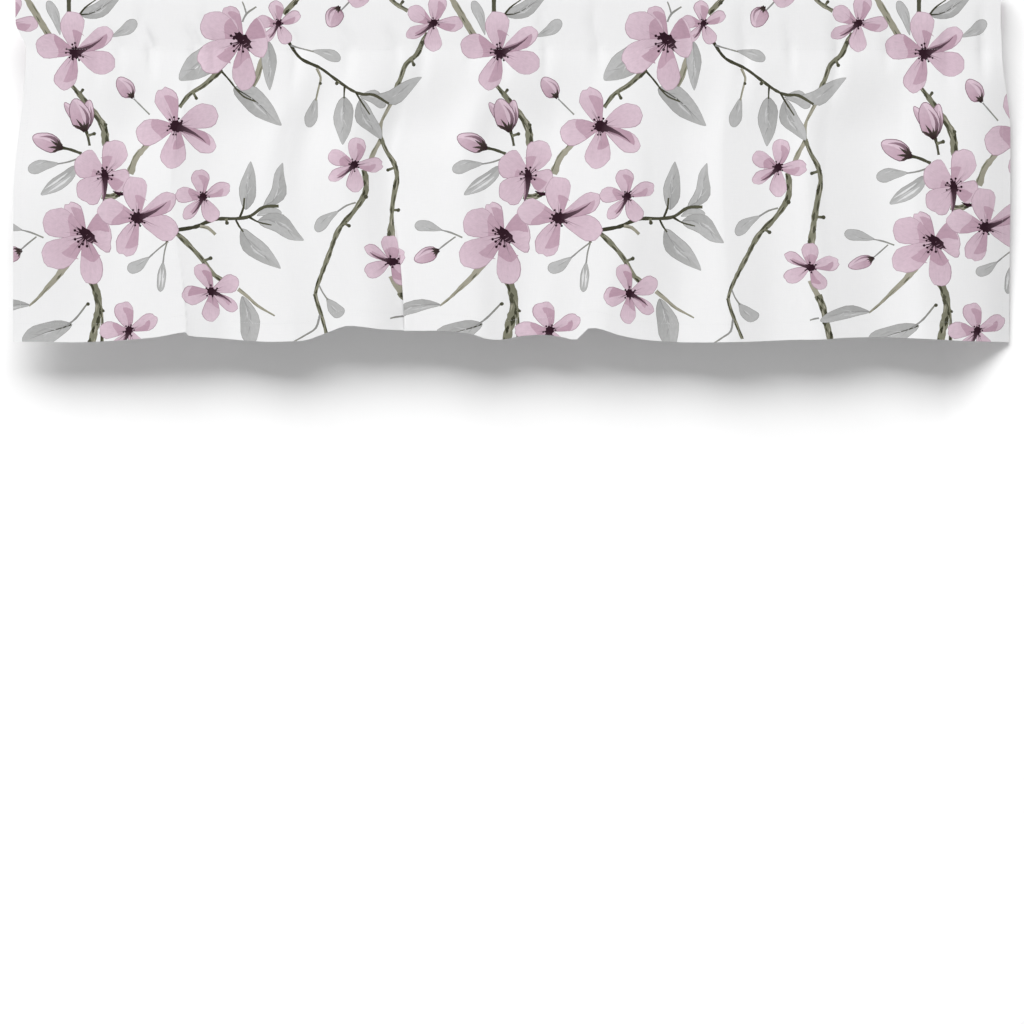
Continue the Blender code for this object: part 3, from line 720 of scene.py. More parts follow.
    def chart_rows(self, flats):
        """The mesh's rows from the pocket's turned edge to the hem, as chart columns and rows."""
        stretches = (
            (self.back_slope + FLAP_END, BACK_ROWS, self.wall_height + self.crown_length),
            (self.crown_length, CROWN_ROWS, self.wall_height),
            (self.wall_height, FRONT_ROWS, 0.0),
        )
        travelled = np.concatenate([
            np.linspace(length, 0, count, endpoint=False) + start for length, count, start in stretches
        ])
        rows = []
        for way in travelled:
            drop = self.pocket_section(np.array([way]))[0][0]
            left, right = self.pocket_edges(self.sizes.pocket_drop - drop)
            across = left + (right - left) * flats / self.width
            rows.append((across / STEP + MIDDLE_COLUMN, np.full(len(flats), self.stitch_row - way / STEP)))
        hem_top = 1 - self.sizes.bottom_hem / self.panel_length
        shares = [
            share for share in np.linspace(0, 1, PANEL_ROWS) ** ROW_CROWDING
            if abs(share - hem_top) > ROW_CLEARANCE
        ]
        shares = sorted(shares + [hem_top - HEM_STEP / self.panel_length, hem_top])
        rows += [self.panel_chart(flats, share) for share in shares]
        ledge = len(travelled) + shares.index(hem_top)
        return rows, (ledge - 1, ledge)


# One patch of ink: its outline in chart steps, its colours where the brush starts and ends, and where
# the brush starts, the way it goes, how far, a number that sets its streaks apart, and whether it is
# one of the main patches, which show on the wrong side of the cloth too
Patch = namedtuple("Patch", "outline inks start way long seed main")


def unit(ways):
    """Rows of numbers as directions of length one."""
    return ways / np.linalg.norm(ways, axis=1, keepdims=True)


def direction(turn):
    return np.array((math.cos(math.radians(turn)), math.sin(math.radians(turn))))


def whole_turn(count):
    """Angles at even steps round a whole turn."""
    return np.linspace(0, 2 * math.pi, count, endpoint=False)


def placed(outline, start, way):
    """An outline given along and across a brush stroke, in chart steps."""
    side = np.array((-way[1], way[0]))
    return np.asarray(start, float) + outline[:, :1] * way + outline[:, 1:] * side


def mixed(first, second, share):
    return tuple(a + (b - a) * share for a, b in zip(first, second))


def sides_of(line):
    """The unit way to one side of a line at each of its points."""
    ways = unit(np.gradient(line, axis=0))
    return np.stack((-ways[:, 1], ways[:, 0]), axis=1)


def span_of(item):
    """Where a bud or leaf starts, the way to its tip, and how far off the tip is."""
    base = np.array((item.across, item.down), float)
    span = np.array((item.tip_across, item.tip_down)) - base
    long = np.linalg.norm(span)
    return base, span / long, long


def smooth_line(points, spacing):
    """Points about that far apart on a smooth line through the given ones."""
    points = np.asarray(points, float)
    padded = np.vstack((2 * points[0] - points[1], points, 2 * points[-1] - points[-2]))
    line = []
    for before, start, end, after in zip(padded, padded[1:], padded[2:], padded[3:]):
        count = max(2, round(np.linalg.norm(end - start) / spacing))
        for share in np.arange(count) / count:
            line.append(
                0.5 * (2 * start + (end - before) * share
                       + (2 * before - 5 * start + 4 * end - after) * share**2
                       + (3 * start - before - 3 * end + after) * share**3)
            )
    return np.vstack((line, points[-1:]))


class Print:
    """The patches of ink of one repeat of the print, in the order in which they are printed."""

    def __init__(self, inks):
        self.inks = inks
        self.patches = []
        self.lines = []

    def brush(self, outline, inks, start, way, long, main=False):
        seed = len(self.patches) * SEED_STEP
        self.patches.append(Patch(outline, inks, np.asarray(start, float), way, long, seed, main))

    def stroke(self, points, widths, inks, main=False):
        """A line whose width goes from the first to the last of the widths."""
        line = np.asarray(points, float)
        half = np.interp(np.linspace(0, 1, len(line)), np.linspace(0, 1, len(widths)), widths) / 2
        aside = sides_of(line) * half[:, None]
        span = line[-1] - line[0]
        long = np.linalg.norm(span)
        outline = np.vstack((line + aside, (line - aside)[::-1]))
        self.brush(outline, inks, line[0], span / long, long, main)

    def dot(self, centre, radius, ink, sides=5):
        angles = whole_turn(sides)
        outline = np.asarray(centre) + radius * np.stack((np.cos(angles), np.sin(angles)), axis=1)
        self.brush(outline, (ink, ink), centre, np.array((1.0, 0.0)), 2 * radius)

    def petal(self, centre, turn, long, wide, lobe, reach, dice):
        """A petal with a fine edge, a shaded lobe and streaks at its root."""
        inks, way = self.inks, direction(turn)
        first, second = dice.uniform(0, ANY_PHASE), dice.uniform(0, ANY_PHASE)
        dent, dent_depth = dice.uniform(-0.28, 0.28), dice.choice(DENT_DEPTHS)

        def rim(inset, aside=0.0):
            turns = whole_turn(BROAD_POINTS)
            cosine, sine = np.cos(turns), np.sin(turns)
            along = 0.5 - 0.5 * np.sign(cosine) * np.abs(cosine) ** TIP_BLUNTNESS
            across = 0.5 * np.sign(sine) * np.abs(sine) ** SIDE_BLUNTNESS
            across = across * np.minimum(WIDTH_GROWTH, ROOT_WIDTH + WIDTH_GROWTH * along)
            ripple = 1 + 0.022 * np.sin(5 * turns + first) + 0.014 * np.sin(9 * turns + second)
            along = 0.5 + (along - 0.5) * ripple
            along = along - dent_depth * np.exp(-(((across - dent) / 0.10) ** 2)) * (along > 0.7)
            across = across * ripple + 0.03 * np.sin(along * 4 + first)
            return np.stack((inset + along * (long - 2 * inset), across * (wide - 2 * inset) + aside), axis=1)

        pale = mixed(inks.petal_pale, inks.petal_mid, dice.uniform(0, 0.6))
        mid = mixed(inks.petal_mid, inks.petal_deep, dice.uniform(0, 0.35))
        line = mixed(inks.petal_line, inks.petal_mid, dice.uniform(0.25, 0.75))
        self.brush(placed(rim(0.0), centre, way), (inks.petal_line, line), centre, way, long)
        inner = rim(PETAL_EDGE, dice.uniform(-0.3, 0.3))
        self.brush(placed(inner, centre, way), (mid, pale), centre, way, long, main=True)
        if lobe != "none":
            lean = dice.uniform(-0.05, 0.12) * wide
            if lobe == "root":
                limit = long * (reach + 0.10 * np.sin(inner[:, 1] / wide * 5 + first))
            else:
                hand = -1 if lobe == "left" else 1
                limit = long * (reach - 0.9 * (inner[:, 1] / wide) ** 2)
                middle = hand * lean * np.sin(inner[:, 0] / long * math.pi * 1.3)
                inner[:, 1] = np.maximum(inner[:, 1] * hand, middle * hand) * hand
            inner[:, 0] = np.minimum(inner[:, 0], limit)
            deep = mixed(inks.petal_deep, inks.petal_mid, dice.uniform(0, 0.35))
            self.brush(placed(inner, centre, way), (inks.petal_deep, deep), centre, way, long * reach)
        streak_inks = mixed(inks.plum, inks.petal_line, 0.5), mixed(inks.petal_line, inks.petal_mid, 0.55)
        for _ in range(PETAL_STREAKS):
            lean = dice.uniform(-0.30, 0.30) * wide
            end = dice.uniform(0.35, 0.58) * long
            streak = np.array(((2.0, 0.0), (end * 0.55, lean * 0.45), (end, lean)))
            self.stroke(placed(streak, centre, way), (1.0, 0.6, 0.1), streak_inks)

    def blossom(self, flower):
        dice = random.Random(flower.name)
        centre = np.array((flower.across, flower.down), float)
        for petal in BLOSSOM_KINDS[flower.kind]:
            turn = petal.turn * flower.flip + flower.turn
            lobe = FLIPPED_LOBES.get(petal.lobe, petal.lobe) if flower.flip < 0 else petal.lobe
            long, wide = petal.long * flower.size, petal.wide * flower.size
            self.petal(centre, turn, long, wide, lobe, petal.reach, dice)
        if flower.kind == "side":
            self.side_middle(centre, flower, dice)
        else:
            self.open_middle(centre, flower, dice)

    def eye(self, centre, way, long, wide, bow, dice):
        """The dark middle of a blossom, with a ragged edge."""
        turns = whole_turn(ROUND_POINTS)
        ragged = [(1.0 if number % 2 else 0.74) * dice.uniform(0.86, 1.16) for number in range(ROUND_POINTS)]
        along = long * np.cos(turns)
        across = wide * np.sin(turns) * ragged - bow * (1 - np.cos(turns) ** 2)
        outline = placed(np.stack((along * ragged, across), axis=1), centre, way)
        plum = self.inks.plum
        self.brush(outline, (plum, mixed(plum, self.inks.petal_line, 0.12)), centre, way, long, main=True)

    def stamen(self, centre, turn, long, thick, dice):
        end = centre + direction(turn) * long
        ink = self.inks.plum
        self.stroke((centre, end), (thick * 1.1, thick * 0.5), (ink, ink))
        self.dot(end, thick * dice.uniform(1.05, 1.4), ink)

    def open_middle(self, centre, flower, dice):
        """The dark eye of an open blossom, its folded petal's crease, and its stamens."""
        inks = self.inks
        big = flower.kind != "small"
        size = flower.size * (1.0 if big else SMALL_EYE)
        crease_turn = CREASE_TURNS[flower.kind] * flower.flip + flower.turn
        way = direction(crease_turn)
        scale = np.array((size, size * (flower.flip if flower.kind == "open" else -flower.flip)))
        shade = mixed(mixed(inks.plum, inks.petal_deep, 0.62), inks.plum, 0.4)
        wash = placed(np.array(CREASE_WASH, float) * scale, centre, way)
        self.brush(wash, (shade, inks.petal_deep), centre, way, 25 * size)
        crease = placed(np.array(CREASE, float) * scale, centre, way)
        crease_inks = inks.plum, mixed(inks.plum, inks.petal_line, 0.5)
        self.stroke(crease, (6.0 * size, 4.4 * size, 2.6 * size, 1.3, 0.4), crease_inks)
        if flower.kind == "cup":
            self.eye(centre, direction(82), 8.5, 4.2, 0.0, dice)
            fold = smooth_line(centre + np.array(CUP_FOLD, float), 3)
            self.stroke(fold, (0.8, 3.2, 3.6, 0.8), (inks.plum, inks.plum))
        else:
            eye_turn, long = (flower.turn + 20, 7.4) if big else (crease_turn, 8.6)
            self.eye(centre, direction(eye_turn), long * size, 6.6 * size, 0.0, dice)
        count, thick = (8, 1.0) if big else (5, 0.8)
        for number in range(count):
            turn = crease_turn + 62 + number * 236 / (count - 1) + dice.uniform(-9, 9)
            self.stamen(centre, turn, 6.0 * size * dice.uniform(1.2, 1.6), thick, dice)

    def side_middle(self, centre, flower, dice):
        """The dark crescent of a blossom seen from its side, with stamens on one side of it."""
        size = flower.size
        tilt = 42 * flower.flip + flower.turn
        way, side = direction(tilt), direction(tilt + 90)
        self.eye(centre, way, 12.5 * size, 5.8 * size, 1.6 * size, dice)
        for place in (-0.1, 0.25, 0.55):
            start = centre + way * 12 * size * place + side * 3.4 * size
            end = centre + way * 12 * size * (place + 0.12) - side * 2.0 * size
            self.stroke((start, (start + end) / 2, end), (0.2, 0.5, 0.2), (self.inks.petal_line,) * 2)
        for turn, long in SIDE_STAMENS:
            turn = turn * flower.flip + flower.turn + dice.uniform(-3, 3)
            self.stamen(centre, turn, 0.9 * long * size, 1.3, dice)

    def bud(self, bud):
        """A closed bud: an egg with folded petals, and sepals that hold it."""
        inks, dice = self.inks, random.Random(bud.name)
        base, way, long = span_of(bud)

        def egg(inset):
            turns = whole_turn(ROUND_POINTS)
            along = 0.5 - 0.5 * np.cos(turns)
            across = 0.5 * np.sin(turns) * (1.12 - 0.35 * along) * (1 + 0.03 * np.sin(5 * turns))
            return np.stack((inset + along * (long - 2 * inset), across * (bud.wide - 2 * inset)), axis=1)

        line_ink = mixed(inks.petal_line, inks.plum, 0.75 * bud.dark)
        line_inks = line_ink, mixed(line_ink, inks.petal_line, 0.7)
        self.brush(placed(egg(0.0), base, way), line_inks, base, way, long)
        inner = egg(BUD_EDGE)
        self.brush(placed(inner, base, way), (inks.petal_mid, inks.petal_pale), base, way, long, main=True)
        middle = -0.08 * bud.wide + 0.16 * bud.wide * np.sin(inner[:, 0] / long * math.pi)
        inner[:, 1] = np.minimum(inner[:, 1], middle)
        self.brush(placed(inner, base, way), (inks.petal_deep, inks.petal_mid), base, way, long)
        for side, thick, reach in ((-0.26, 0.8, 0.42), (0.06, 0.8, 0.50), (0.30, 0.9 + 2.6 * bud.dark, 0.85)):
            fold = np.array(((0, side * 0.3), (0.35, side), (0.65, side * 0.9), (0.92, side * 0.35)))
            fold = placed(fold * (long * reach, bud.wide), base, way)
            fade = mixed(inks.petal_line, inks.petal_mid, 1 - reach * bud.dark)
            self.stroke(smooth_line(fold, 6), (thick, thick, thick * 0.6, 0.2), (line_ink, fade))
        dark = mixed(inks.twig_dark, inks.plum, 0.8)
        sepal_inks = dark, mixed(dark, inks.twig_mid, 0.2)
        for turn in (-50, -20, 14, 46):
            reach = (0.20 + 0.13 * bud.dark) * long * dice.uniform(0.7, 1.3)
            tip = direction(turn) * reach
            sepal = placed(np.array(((-1.5, 0.0), tip * 0.55, tip)), base, way)
            self.stroke(sepal, (2.2 + 1.6 * bud.dark, 1.8 + 0.6 * bud.dark, 0.2), sepal_inks)

    def leaf(self, leaf):
        """A leaf with a fine edge, a darker half and veins."""
        inks, dice = self.inks, random.Random(leaf.name)
        base, way, long = span_of(leaf)
        wobble = dice.uniform(0, ANY_PHASE)

        def bowed(along, across):
            bow = leaf.bend * np.sin(along * math.pi)
            bow = bow + 0.5 * leaf.bend * leaf.point * np.sin(along * 2 * math.pi)
            return np.stack((along * long, across * leaf.wide + bow * long), axis=1)

        def rim(inset):
            turns = whole_turn(BROAD_POINTS)
            along = 0.5 - 0.5 * np.cos(turns)
            round_half = 0.5 * np.sin(turns) * (0.30 + 1.05 * along)
            point_half = 1.86 * np.sign(np.sin(turns)) * (1 - along) ** 1.3 * along**0.72
            across = round_half * (1 - leaf.point) + point_half * leaf.point
            across = across * (1 + 0.06 * np.sin(5 * turns + wobble) + 0.03 * np.sin(11 * turns))
            slim = 1 - 2 * inset / leaf.wide
            return bowed(inset / long + along * (1 - 2 * inset / long), across * slim)

        def line(along, across, widths, line_inks):
            self.stroke(placed(bowed(along, across), base, way), widths, line_inks)

        pale = mixed(inks.leaf_pale, inks.leaf_mid, dice.uniform(0, 0.7))
        edge = mixed(inks.leaf_line, inks.twig_mid, 0.15)
        self.brush(placed(rim(0.0), base, way), (edge, mixed(edge, pale, 0.35)), base, way, long)
        inner = rim(LEAF_EDGE)
        self.brush(placed(inner, base, way), (inks.leaf_mid, pale), base, way, long, main=True)
        side = dice.choice((-1, 1))
        if leaf.look != "plain":
            middle = bowed(inner[:, 0] / long, np.zeros(len(inner)))[:, 1]
            inner[:, 1] = np.maximum(inner[:, 1] * side, middle * side) * side
            deep = mixed(inks.leaf_mid, inks.leaf_line, 0.45)
            self.brush(placed(inner, base, way), (deep, inks.leaf_mid), base, way, long)
        if leaf.look == "hollow":
            bare = mixed((1.0, 1.0, 1.0), inks.leaf_pale, 0.4)
            for place in (0.16, -0.14):
                ways = np.array((0.25, 0.45, 0.65, 0.85))
                line(ways, np.full(4, place), (0.4, 2.4, 1.8, 0.3), (bare, bare))
        light, deep = mixed(inks.leaf_pale, (1, 1, 1), 0.2), mixed(inks.leaf_mid, inks.leaf_line, 0.5)
        for tone in (light, deep):
            start = dice.uniform(0.12, 0.4)
            out = dice.uniform(-0.26, 0.26)
            bulge = np.array((out * 0.6, out, out * 0.8)) * (0.5 if leaf.point > 0.5 else 0.9)
            ways = np.array((start, start + 0.15, start + 0.34))
            line(ways, bulge, (0.3, leaf.wide * 0.09, 0.3), (tone, tone))
        if leaf.look in ("ribbed", "veined"):
            rib = np.linspace(0.02, 0.86, 6)
            dark = leaf.look == "ribbed"
            rib_inks = (inks.twig_dark, inks.leaf_line) if dark else (inks.leaf_line, inks.leaf_mid)
            line(rib, 0.02 * np.sin(rib * 9 + wobble), (1.7 if dark else 1.0, 0.9, 0.2), rib_inks)
            for number in range(LEAF_VEINS):
                start = 0.18 + number * 0.15
                reach = math.sin(math.pi * min(0.95, start + 0.15))
                out = np.array((0.0, 0.14, 0.25)) * (1 if number % 2 else -1) * reach
                light = mixed(inks.leaf_pale, (1, 1, 1), 0.15) if number in (1, 2) else inks.leaf_line
                vein = np.array((start, start + 0.11, start + 0.20))
                line(vein, out, (0.7, 0.7, 0.2), (light, inks.leaf_mid))

    def branch(self, branch):
        """A branch of uneven width, with darker strokes along it, and pale moss where it is mossy."""
        inks, dice = self.inks, random.Random(branch.name)
        colours = {
            "pale": (inks.twig_pale, mixed(inks.twig_pale, inks.twig_mid, 0.4)),
            "mossy": (mixed(inks.twig_mid, inks.twig_dark, 0.2), mixed(inks.twig_mid, inks.twig_pale, 0.1)),
            "dark": (inks.twig_dark, mixed(inks.twig_dark, inks.twig_mid, 0.3)),
            "grey": (inks.leaf_line, mixed(inks.leaf_line, inks.twig_mid, 0.5)),
        }[branch.paint]
        line = smooth_line(branch.points, BRANCH_SPACING)
        self.lines.append(line)
        base = np.linspace(branch.start, branch.end, len(line))
        widths = np.array([width * dice.uniform(0.82, 1.16) for width in base])
        self.stroke(line, widths, colours, main=True)
        bark = BARK.get(branch.paint)
        if not bark:
            return
        sides = sides_of(line)
        place = 0
        while place < len(line) - 2:
            piece = slice(place, place + dice.randint(3, 4))
            if len(line[piece]) > 2:
                hand = dice.choice((-1, 1))
                thick = float(widths[piece].mean())
                offset = sides[piece] * (thick * dice.uniform(0.12, 0.34) * hand)
                ink = mixed(inks.twig_dark, inks.twig_mid, dice.uniform(*bark.fade))
                stroke_wide = thick * dice.uniform(*bark.wide)
                self.stroke(line[piece] + offset, (0.3, stroke_wide, 0.3), (ink, ink))
                if bark.moss and dice.random() < bark.moss:
                    pale = mixed(inks.twig_pale, inks.twig_mid, dice.uniform(0, 0.3))
                    moss_wide = thick * dice.uniform(0.16, 0.28)
                    self.stroke(line[piece][:3] - offset[:3] * 0.8, (0.3, moss_wide, 0.3), (pale, pale))
            place += dice.randint(*bark.skip)

    def knob(self, across, down, radius):
        """A small dark knob on a thick short stub that comes from the nearest branch."""
        ink = mixed(self.inks.twig_dark, self.inks.twig_mid, 0.2)
        spot = np.array((across, down))
        every = np.vstack(self.lines)
        nearest = every[np.linalg.norm(every - spot, axis=1).argmin()]
        if np.linalg.norm(nearest - spot) > 0.5:
            self.stroke((nearest, (nearest + spot) / 2, spot), (3.4, 2.5, 2.9), (self.inks.twig_mid, ink))
        self.dot(spot, radius * 0.74, ink, sides=7)

    def draw(self):
        for draw_one, table in ((self.branch, BRANCHES), (self.leaf, LEAVES), (self.branch, STEMS)):
            for row in table:
                draw_one(row)
        for knob in KNOBS:
            self.knob(*knob)
        for draw_one, table in ((self.bud, BUDS), (self.blossom, BLOSSOMS)):
            for row in table:
                draw_one(row)
        return self.patches


def drifted(places):
    """Places of the chart moved to where the print lies there."""
    moved = np.array(places, float)
    for drift in DRIFTS:
        away = (places - (drift.across, drift.down)) / (drift.reach_across, drift.reach_down)
        moved += np.exp(-(away**2).sum(axis=-1, keepdims=True)) * (drift.aside, drift.lower)
    return moved


def repeated(patches, first_column, last_column, first_row, last_row):
    """The patches of every repeat that reaches the cloth."""
    found = []
    for patch in patches:
        low, high = patch.outline.min(axis=0), patch.outline.max(axis=0)
        if high[1] < first_row or low[1] > last_row:
            continue
        for number in REPEATS:
            shift = np.array((number * REPEAT, 0.0))
            if low[0] + shift[0] < last_column and high[0] + shift[0] > first_column:
                outline, start = drifted(patch.outline + shift), drifted(patch.start + shift)
                found.append(patch._replace(outline=outline, start=start))
    return found


def inside(outline, points):
    """Whether each point lies inside an outline that may cross itself, by its winding number."""
    ends = np.roll(outline, -1, axis=0)
    turns = np.zeros(len(points), int)
    for (x0, y0), (x1, y1) in zip(outline, ends):
        cross = (x1 - x0) * (points[:, 1] - y0) - (y1 - y0) * (points[:, 0] - x0)
        turns += (y0 <= points[:, 1]) & (y1 > points[:, 1]) & (cross > 0)
        turns -= (y0 > points[:, 1]) & (y1 <= points[:, 1]) & (cross < 0)
    return turns != 0


def owners(patches, centres):
    """The number of the uppermost patch at each centre, or -1 where the cloth is bare."""
    order = np.argsort(centres[:, 0])
    ordered = centres[order]
    found = np.full(len(centres), -1)
    for number, patch in enumerate(patches):
        low, high = patch.outline.min(axis=0), patch.outline.max(axis=0)
        first, last = np.searchsorted(ordered[:, 0], (low[0], high[0]))
        near = first + np.flatnonzero((ordered[first:last, 1] > low[1]) & (ordered[first:last, 1] < high[1]))
        if len(near):
            found[near[inside(patch.outline, ordered[near])]] = number
    result = np.full(len(centres), -1)
    result[order] = found
    return result


def chart_edges(cloth, flats, down, ledges):
    """Edges along the chart's top, ledges and hem, and down its folds and side hems."""
    across = len(flats)
    edges = []
    for row in (0, *ledges, down - 1):
        edges += [(row * across + column, row * across + column + 1) for column in range(across - 1)]
    folded = set(np.searchsorted(flats, cloth.stations).tolist())
    folded |= {*range(HEM_COLUMNS), *range(across - HEM_COLUMNS, across)}
    for column in sorted(column for column in folded if column < across):
        edges += [(row * across + column, (row + 1) * across + column) for row in range(down - 1)]
    return edges


def cloth_chart(cloth, patches, joined):
    """Triangles of the whole cloth in the chart, cut along the ledges, the folds and the ink's outlines.

    Joined are places that must be corners of triangles too.
    """
    flats = cloth.flat_columns()
    rows, ledges = cloth.chart_rows(flats)
    places = [*(np.stack(row, axis=1) for row in rows), joined]
    edges = chart_edges(cloth, flats, len(rows), ledges)
    first = sum(len(place) for place in places)
    for patch in patches:
        count = len(patch.outline)
        places.append(patch.outline)
        edges += [(first + number, first + (number + 1) % count) for number in range(count)]
        first += count
    points = [Vector(point) for point in np.vstack(places)]
    result = delaunay_2d_cdt(points, edges, [], 0, SAME_PLACE)
    found = np.array([tuple(point) for point in result[0]])
    triangles = np.array([face for face in result[2] if len(face) == 3])
    centres = found[triangles].mean(axis=1)
    column, row = centres.T
    left, right = (np.array([each[0][end] for each in rows]) for end in (0, -1))
    left_rows, right_rows = (np.array([each[1][end] for each in rows]) for end in (0, -1))
    kept = (column > np.interp(row, left_rows, left)) & (column < np.interp(row, right_rows, right))
    kept &= (row < np.interp(column, *rows[-1])) & (row > rows[0][1][0])
    triangles = triangles[kept]
    used, renumbered = np.unique(triangles, return_inverse=True)
    return found[used], renumbered.reshape(-1, 3)


def rim_of(triangles):
    """The edges that only one triangle has, each in that triangle's own direction."""
    edges = np.concatenate((triangles[:, (0, 1)], triangles[:, (1, 2)], triangles[:, (2, 0)]))
    keys = np.sort(edges, axis=1)
    _, first, count = np.unique(keys, axis=0, return_index=True, return_counts=True)
    return edges[first[count == 1]]


def corner_paint(patches, owner, places, triangles):
    """The colour of the ink and the brush's place at each corner of the triangles."""
    white = (1.0, 1.0, 1.0)
    bare = Patch(None, (white, white), (0.0, 0.0), (1.0, 0.0), 1.0, 0.0, False)
    every = [*patches, bare]
    numbers = np.repeat(owner, 3)
    start, way, long, seed = (
        np.array([getattr(patch, field) for patch in every])[numbers]
        for field in ("start", "way", "long", "seed")
    )
    first, last = (np.array([patch.inks[end] for patch in every])[numbers] for end in (0, 1))
    rest = places[triangles.ravel()] - start
    along = (rest * way).sum(axis=1)
    across = rest[:, 1] * way[:, 0] - rest[:, 0] * way[:, 1]
    share = np.clip(along / long, 0, 1)[:, None]
    ink = first * (1 - share) + last * share
    colour = np.hstack((ink, (numbers >= 0).astype(float)[:, None]))
    brush = np.stack((across * MILLIMETRES, along * MILLIMETRES, seed), axis=1)
    return colour, brush


def fill(layer, field, values, kind=np.float32):
    layer.foreach_set(field, np.asarray(values).astype(kind).ravel())


def new_mesh(name, points, triangles):
    mesh = bpy.data.meshes.new(name)
    mesh.vertices.add(len(points))
    fill(mesh.vertices, "co", points)
    mesh.loops.add(triangles.size)
    fill(mesh.loops, "vertex_index", triangles, np.int32)
    mesh.polygons.add(len(triangles))
    fill(mesh.polygons, "loop_start", np.arange(0, triangles.size, 3), np.int32)
    mesh.update(calc_edges=True)
    mesh.validate()
    mesh.shade_smooth()
    made = bpy.data.objects.new(name, mesh)
    bpy.context.scene.collection.objects.link(made)
    return made


# One side of the cloth: its places in the chart and its triangles, the ink and the brush's place at the
# triangles' corners, and for each place its place across the flat cloth, the printed face's point and
# normal, the cloth's thickness, and whether it lies in a turned hem
Side = namedtuple("Side", "places triangles ink brush flat point normal thick turned")


def cloth_side(cloth, patches, joined):
    places, triangles = cloth_chart(cloth, patches, joined)
    owner = owners(patches, places[triangles].mean(axis=1))
    ink, brush = corner_paint(patches, owner, places, triangles)
    chart = places.T
    return Side(
        places, triangles, ink, brush, cloth.flat_places(*chart), cloth.points(*chart),
        cloth.normals(*chart), *cloth.thickness(*chart),
    )


def joining_faces(front, back):
    """Triangles that join the rims of the two sides, whose places in the chart are the same there."""
    rim = rim_of(front.triangles)
    used, numbers = np.unique(rim, return_inverse=True)
    others = np.unique(rim_of(back.triangles))
    away = np.linalg.norm(front.places[used][:, None] - back.places[others][None], axis=2)
    partner = (len(front.places) + others[away.argmin(axis=1)])[numbers.reshape(rim.shape)]
    faces = np.vstack((
        np.stack((rim[:, 0], rim[:, 1], partner[:, 1]), axis=1),
        np.stack((rim[:, 0], partner[:, 1], partner[:, 0]), axis=1),
    ))
    ordered = np.sort(faces, axis=1)
    return faces[(ordered[:, 0] != ordered[:, 1]) & (ordered[:, 1] != ordered[:, 2])]


def back_normals(cloth, side, step=0.3):
    """Unit normals of the wrong side, which slopes where a hem's ledge makes the cloth thicker."""
    column, row = side.places.T
    normal = side.normal.copy()
    for aside, down in ((step, 0), (0, step)):
        after, before = (column + aside, row + down), (column - aside, row - down)
        thicker = cloth.thickness(*after)[0] - cloth.thickness(*before)[0]
        ahead = unit(cloth.points(*after) - cloth.points(*before))
        normal += ahead * (thicker / (2 * step * STEP))[:, None]
    return -unit(normal)


def print_on(mesh, front, back, rim_corners):
    """The ink's colour and the brush's place at every corner of the cloth, which is bare at its rim."""
    turned_order = np.arange(len(front.ink)).reshape(-1, 3)[:, ::-1].ravel()
    bare = np.tile((1.0, 1.0, 1.0, 0.0), (rim_corners, 1))
    colours = np.vstack((front.ink[turned_order], back.ink, bare))
    fill(mesh.color_attributes.new("ink", "FLOAT_COLOR", "CORNER").data, "color", colours)
    brushes = np.vstack((front.brush[turned_order], back.brush, np.zeros((rim_corners, 3))))
    fill(mesh.attributes.new("brush", "FLOAT_VECTOR", "CORNER").data, "vector", brushes)


def map_cloth(mesh, front, back, faces, rim_count):
    """A map in metres of the flat cloth for the weave, and a map for baked pictures.

    In the second, the front fills the upper half, the back the lower, and the rim a line between them.
    """
    every = np.vstack((front.places, back.places))
    flat = np.stack((np.concatenate((front.flat, back.flat)), -every[:, 1] * STEP), axis=1)
    fill(mesh.uv_layers.new(name="flat_cloth").uv, "vector", flat[faces.ravel()])
    chart = (every - every.min(axis=0)) / np.ptp(every, axis=0) * (1.0, -HALF_MAP) + (0.0, HALF_MAP)
    chart[: len(front.places), 1] += 1 - HALF_MAP
    along = np.arange(rim_count) / rim_count
    rim = np.repeat(np.stack((along, np.full(rim_count, 0.5)), axis=1), 3, axis=0)
    rim += np.tile(RIM_CORNERS, (rim_count, 1))
    baked = np.vstack((chart[faces[:-rim_count].ravel()], rim)).clip(0, 1)
    fill(mesh.uv_layers.new(name="OFBake").uv, "vector", baked)
    mesh.uv_layers.active = mesh.uv_layers["flat_cloth"]
    mesh.uv_layers["flat_cloth"].active_render = True


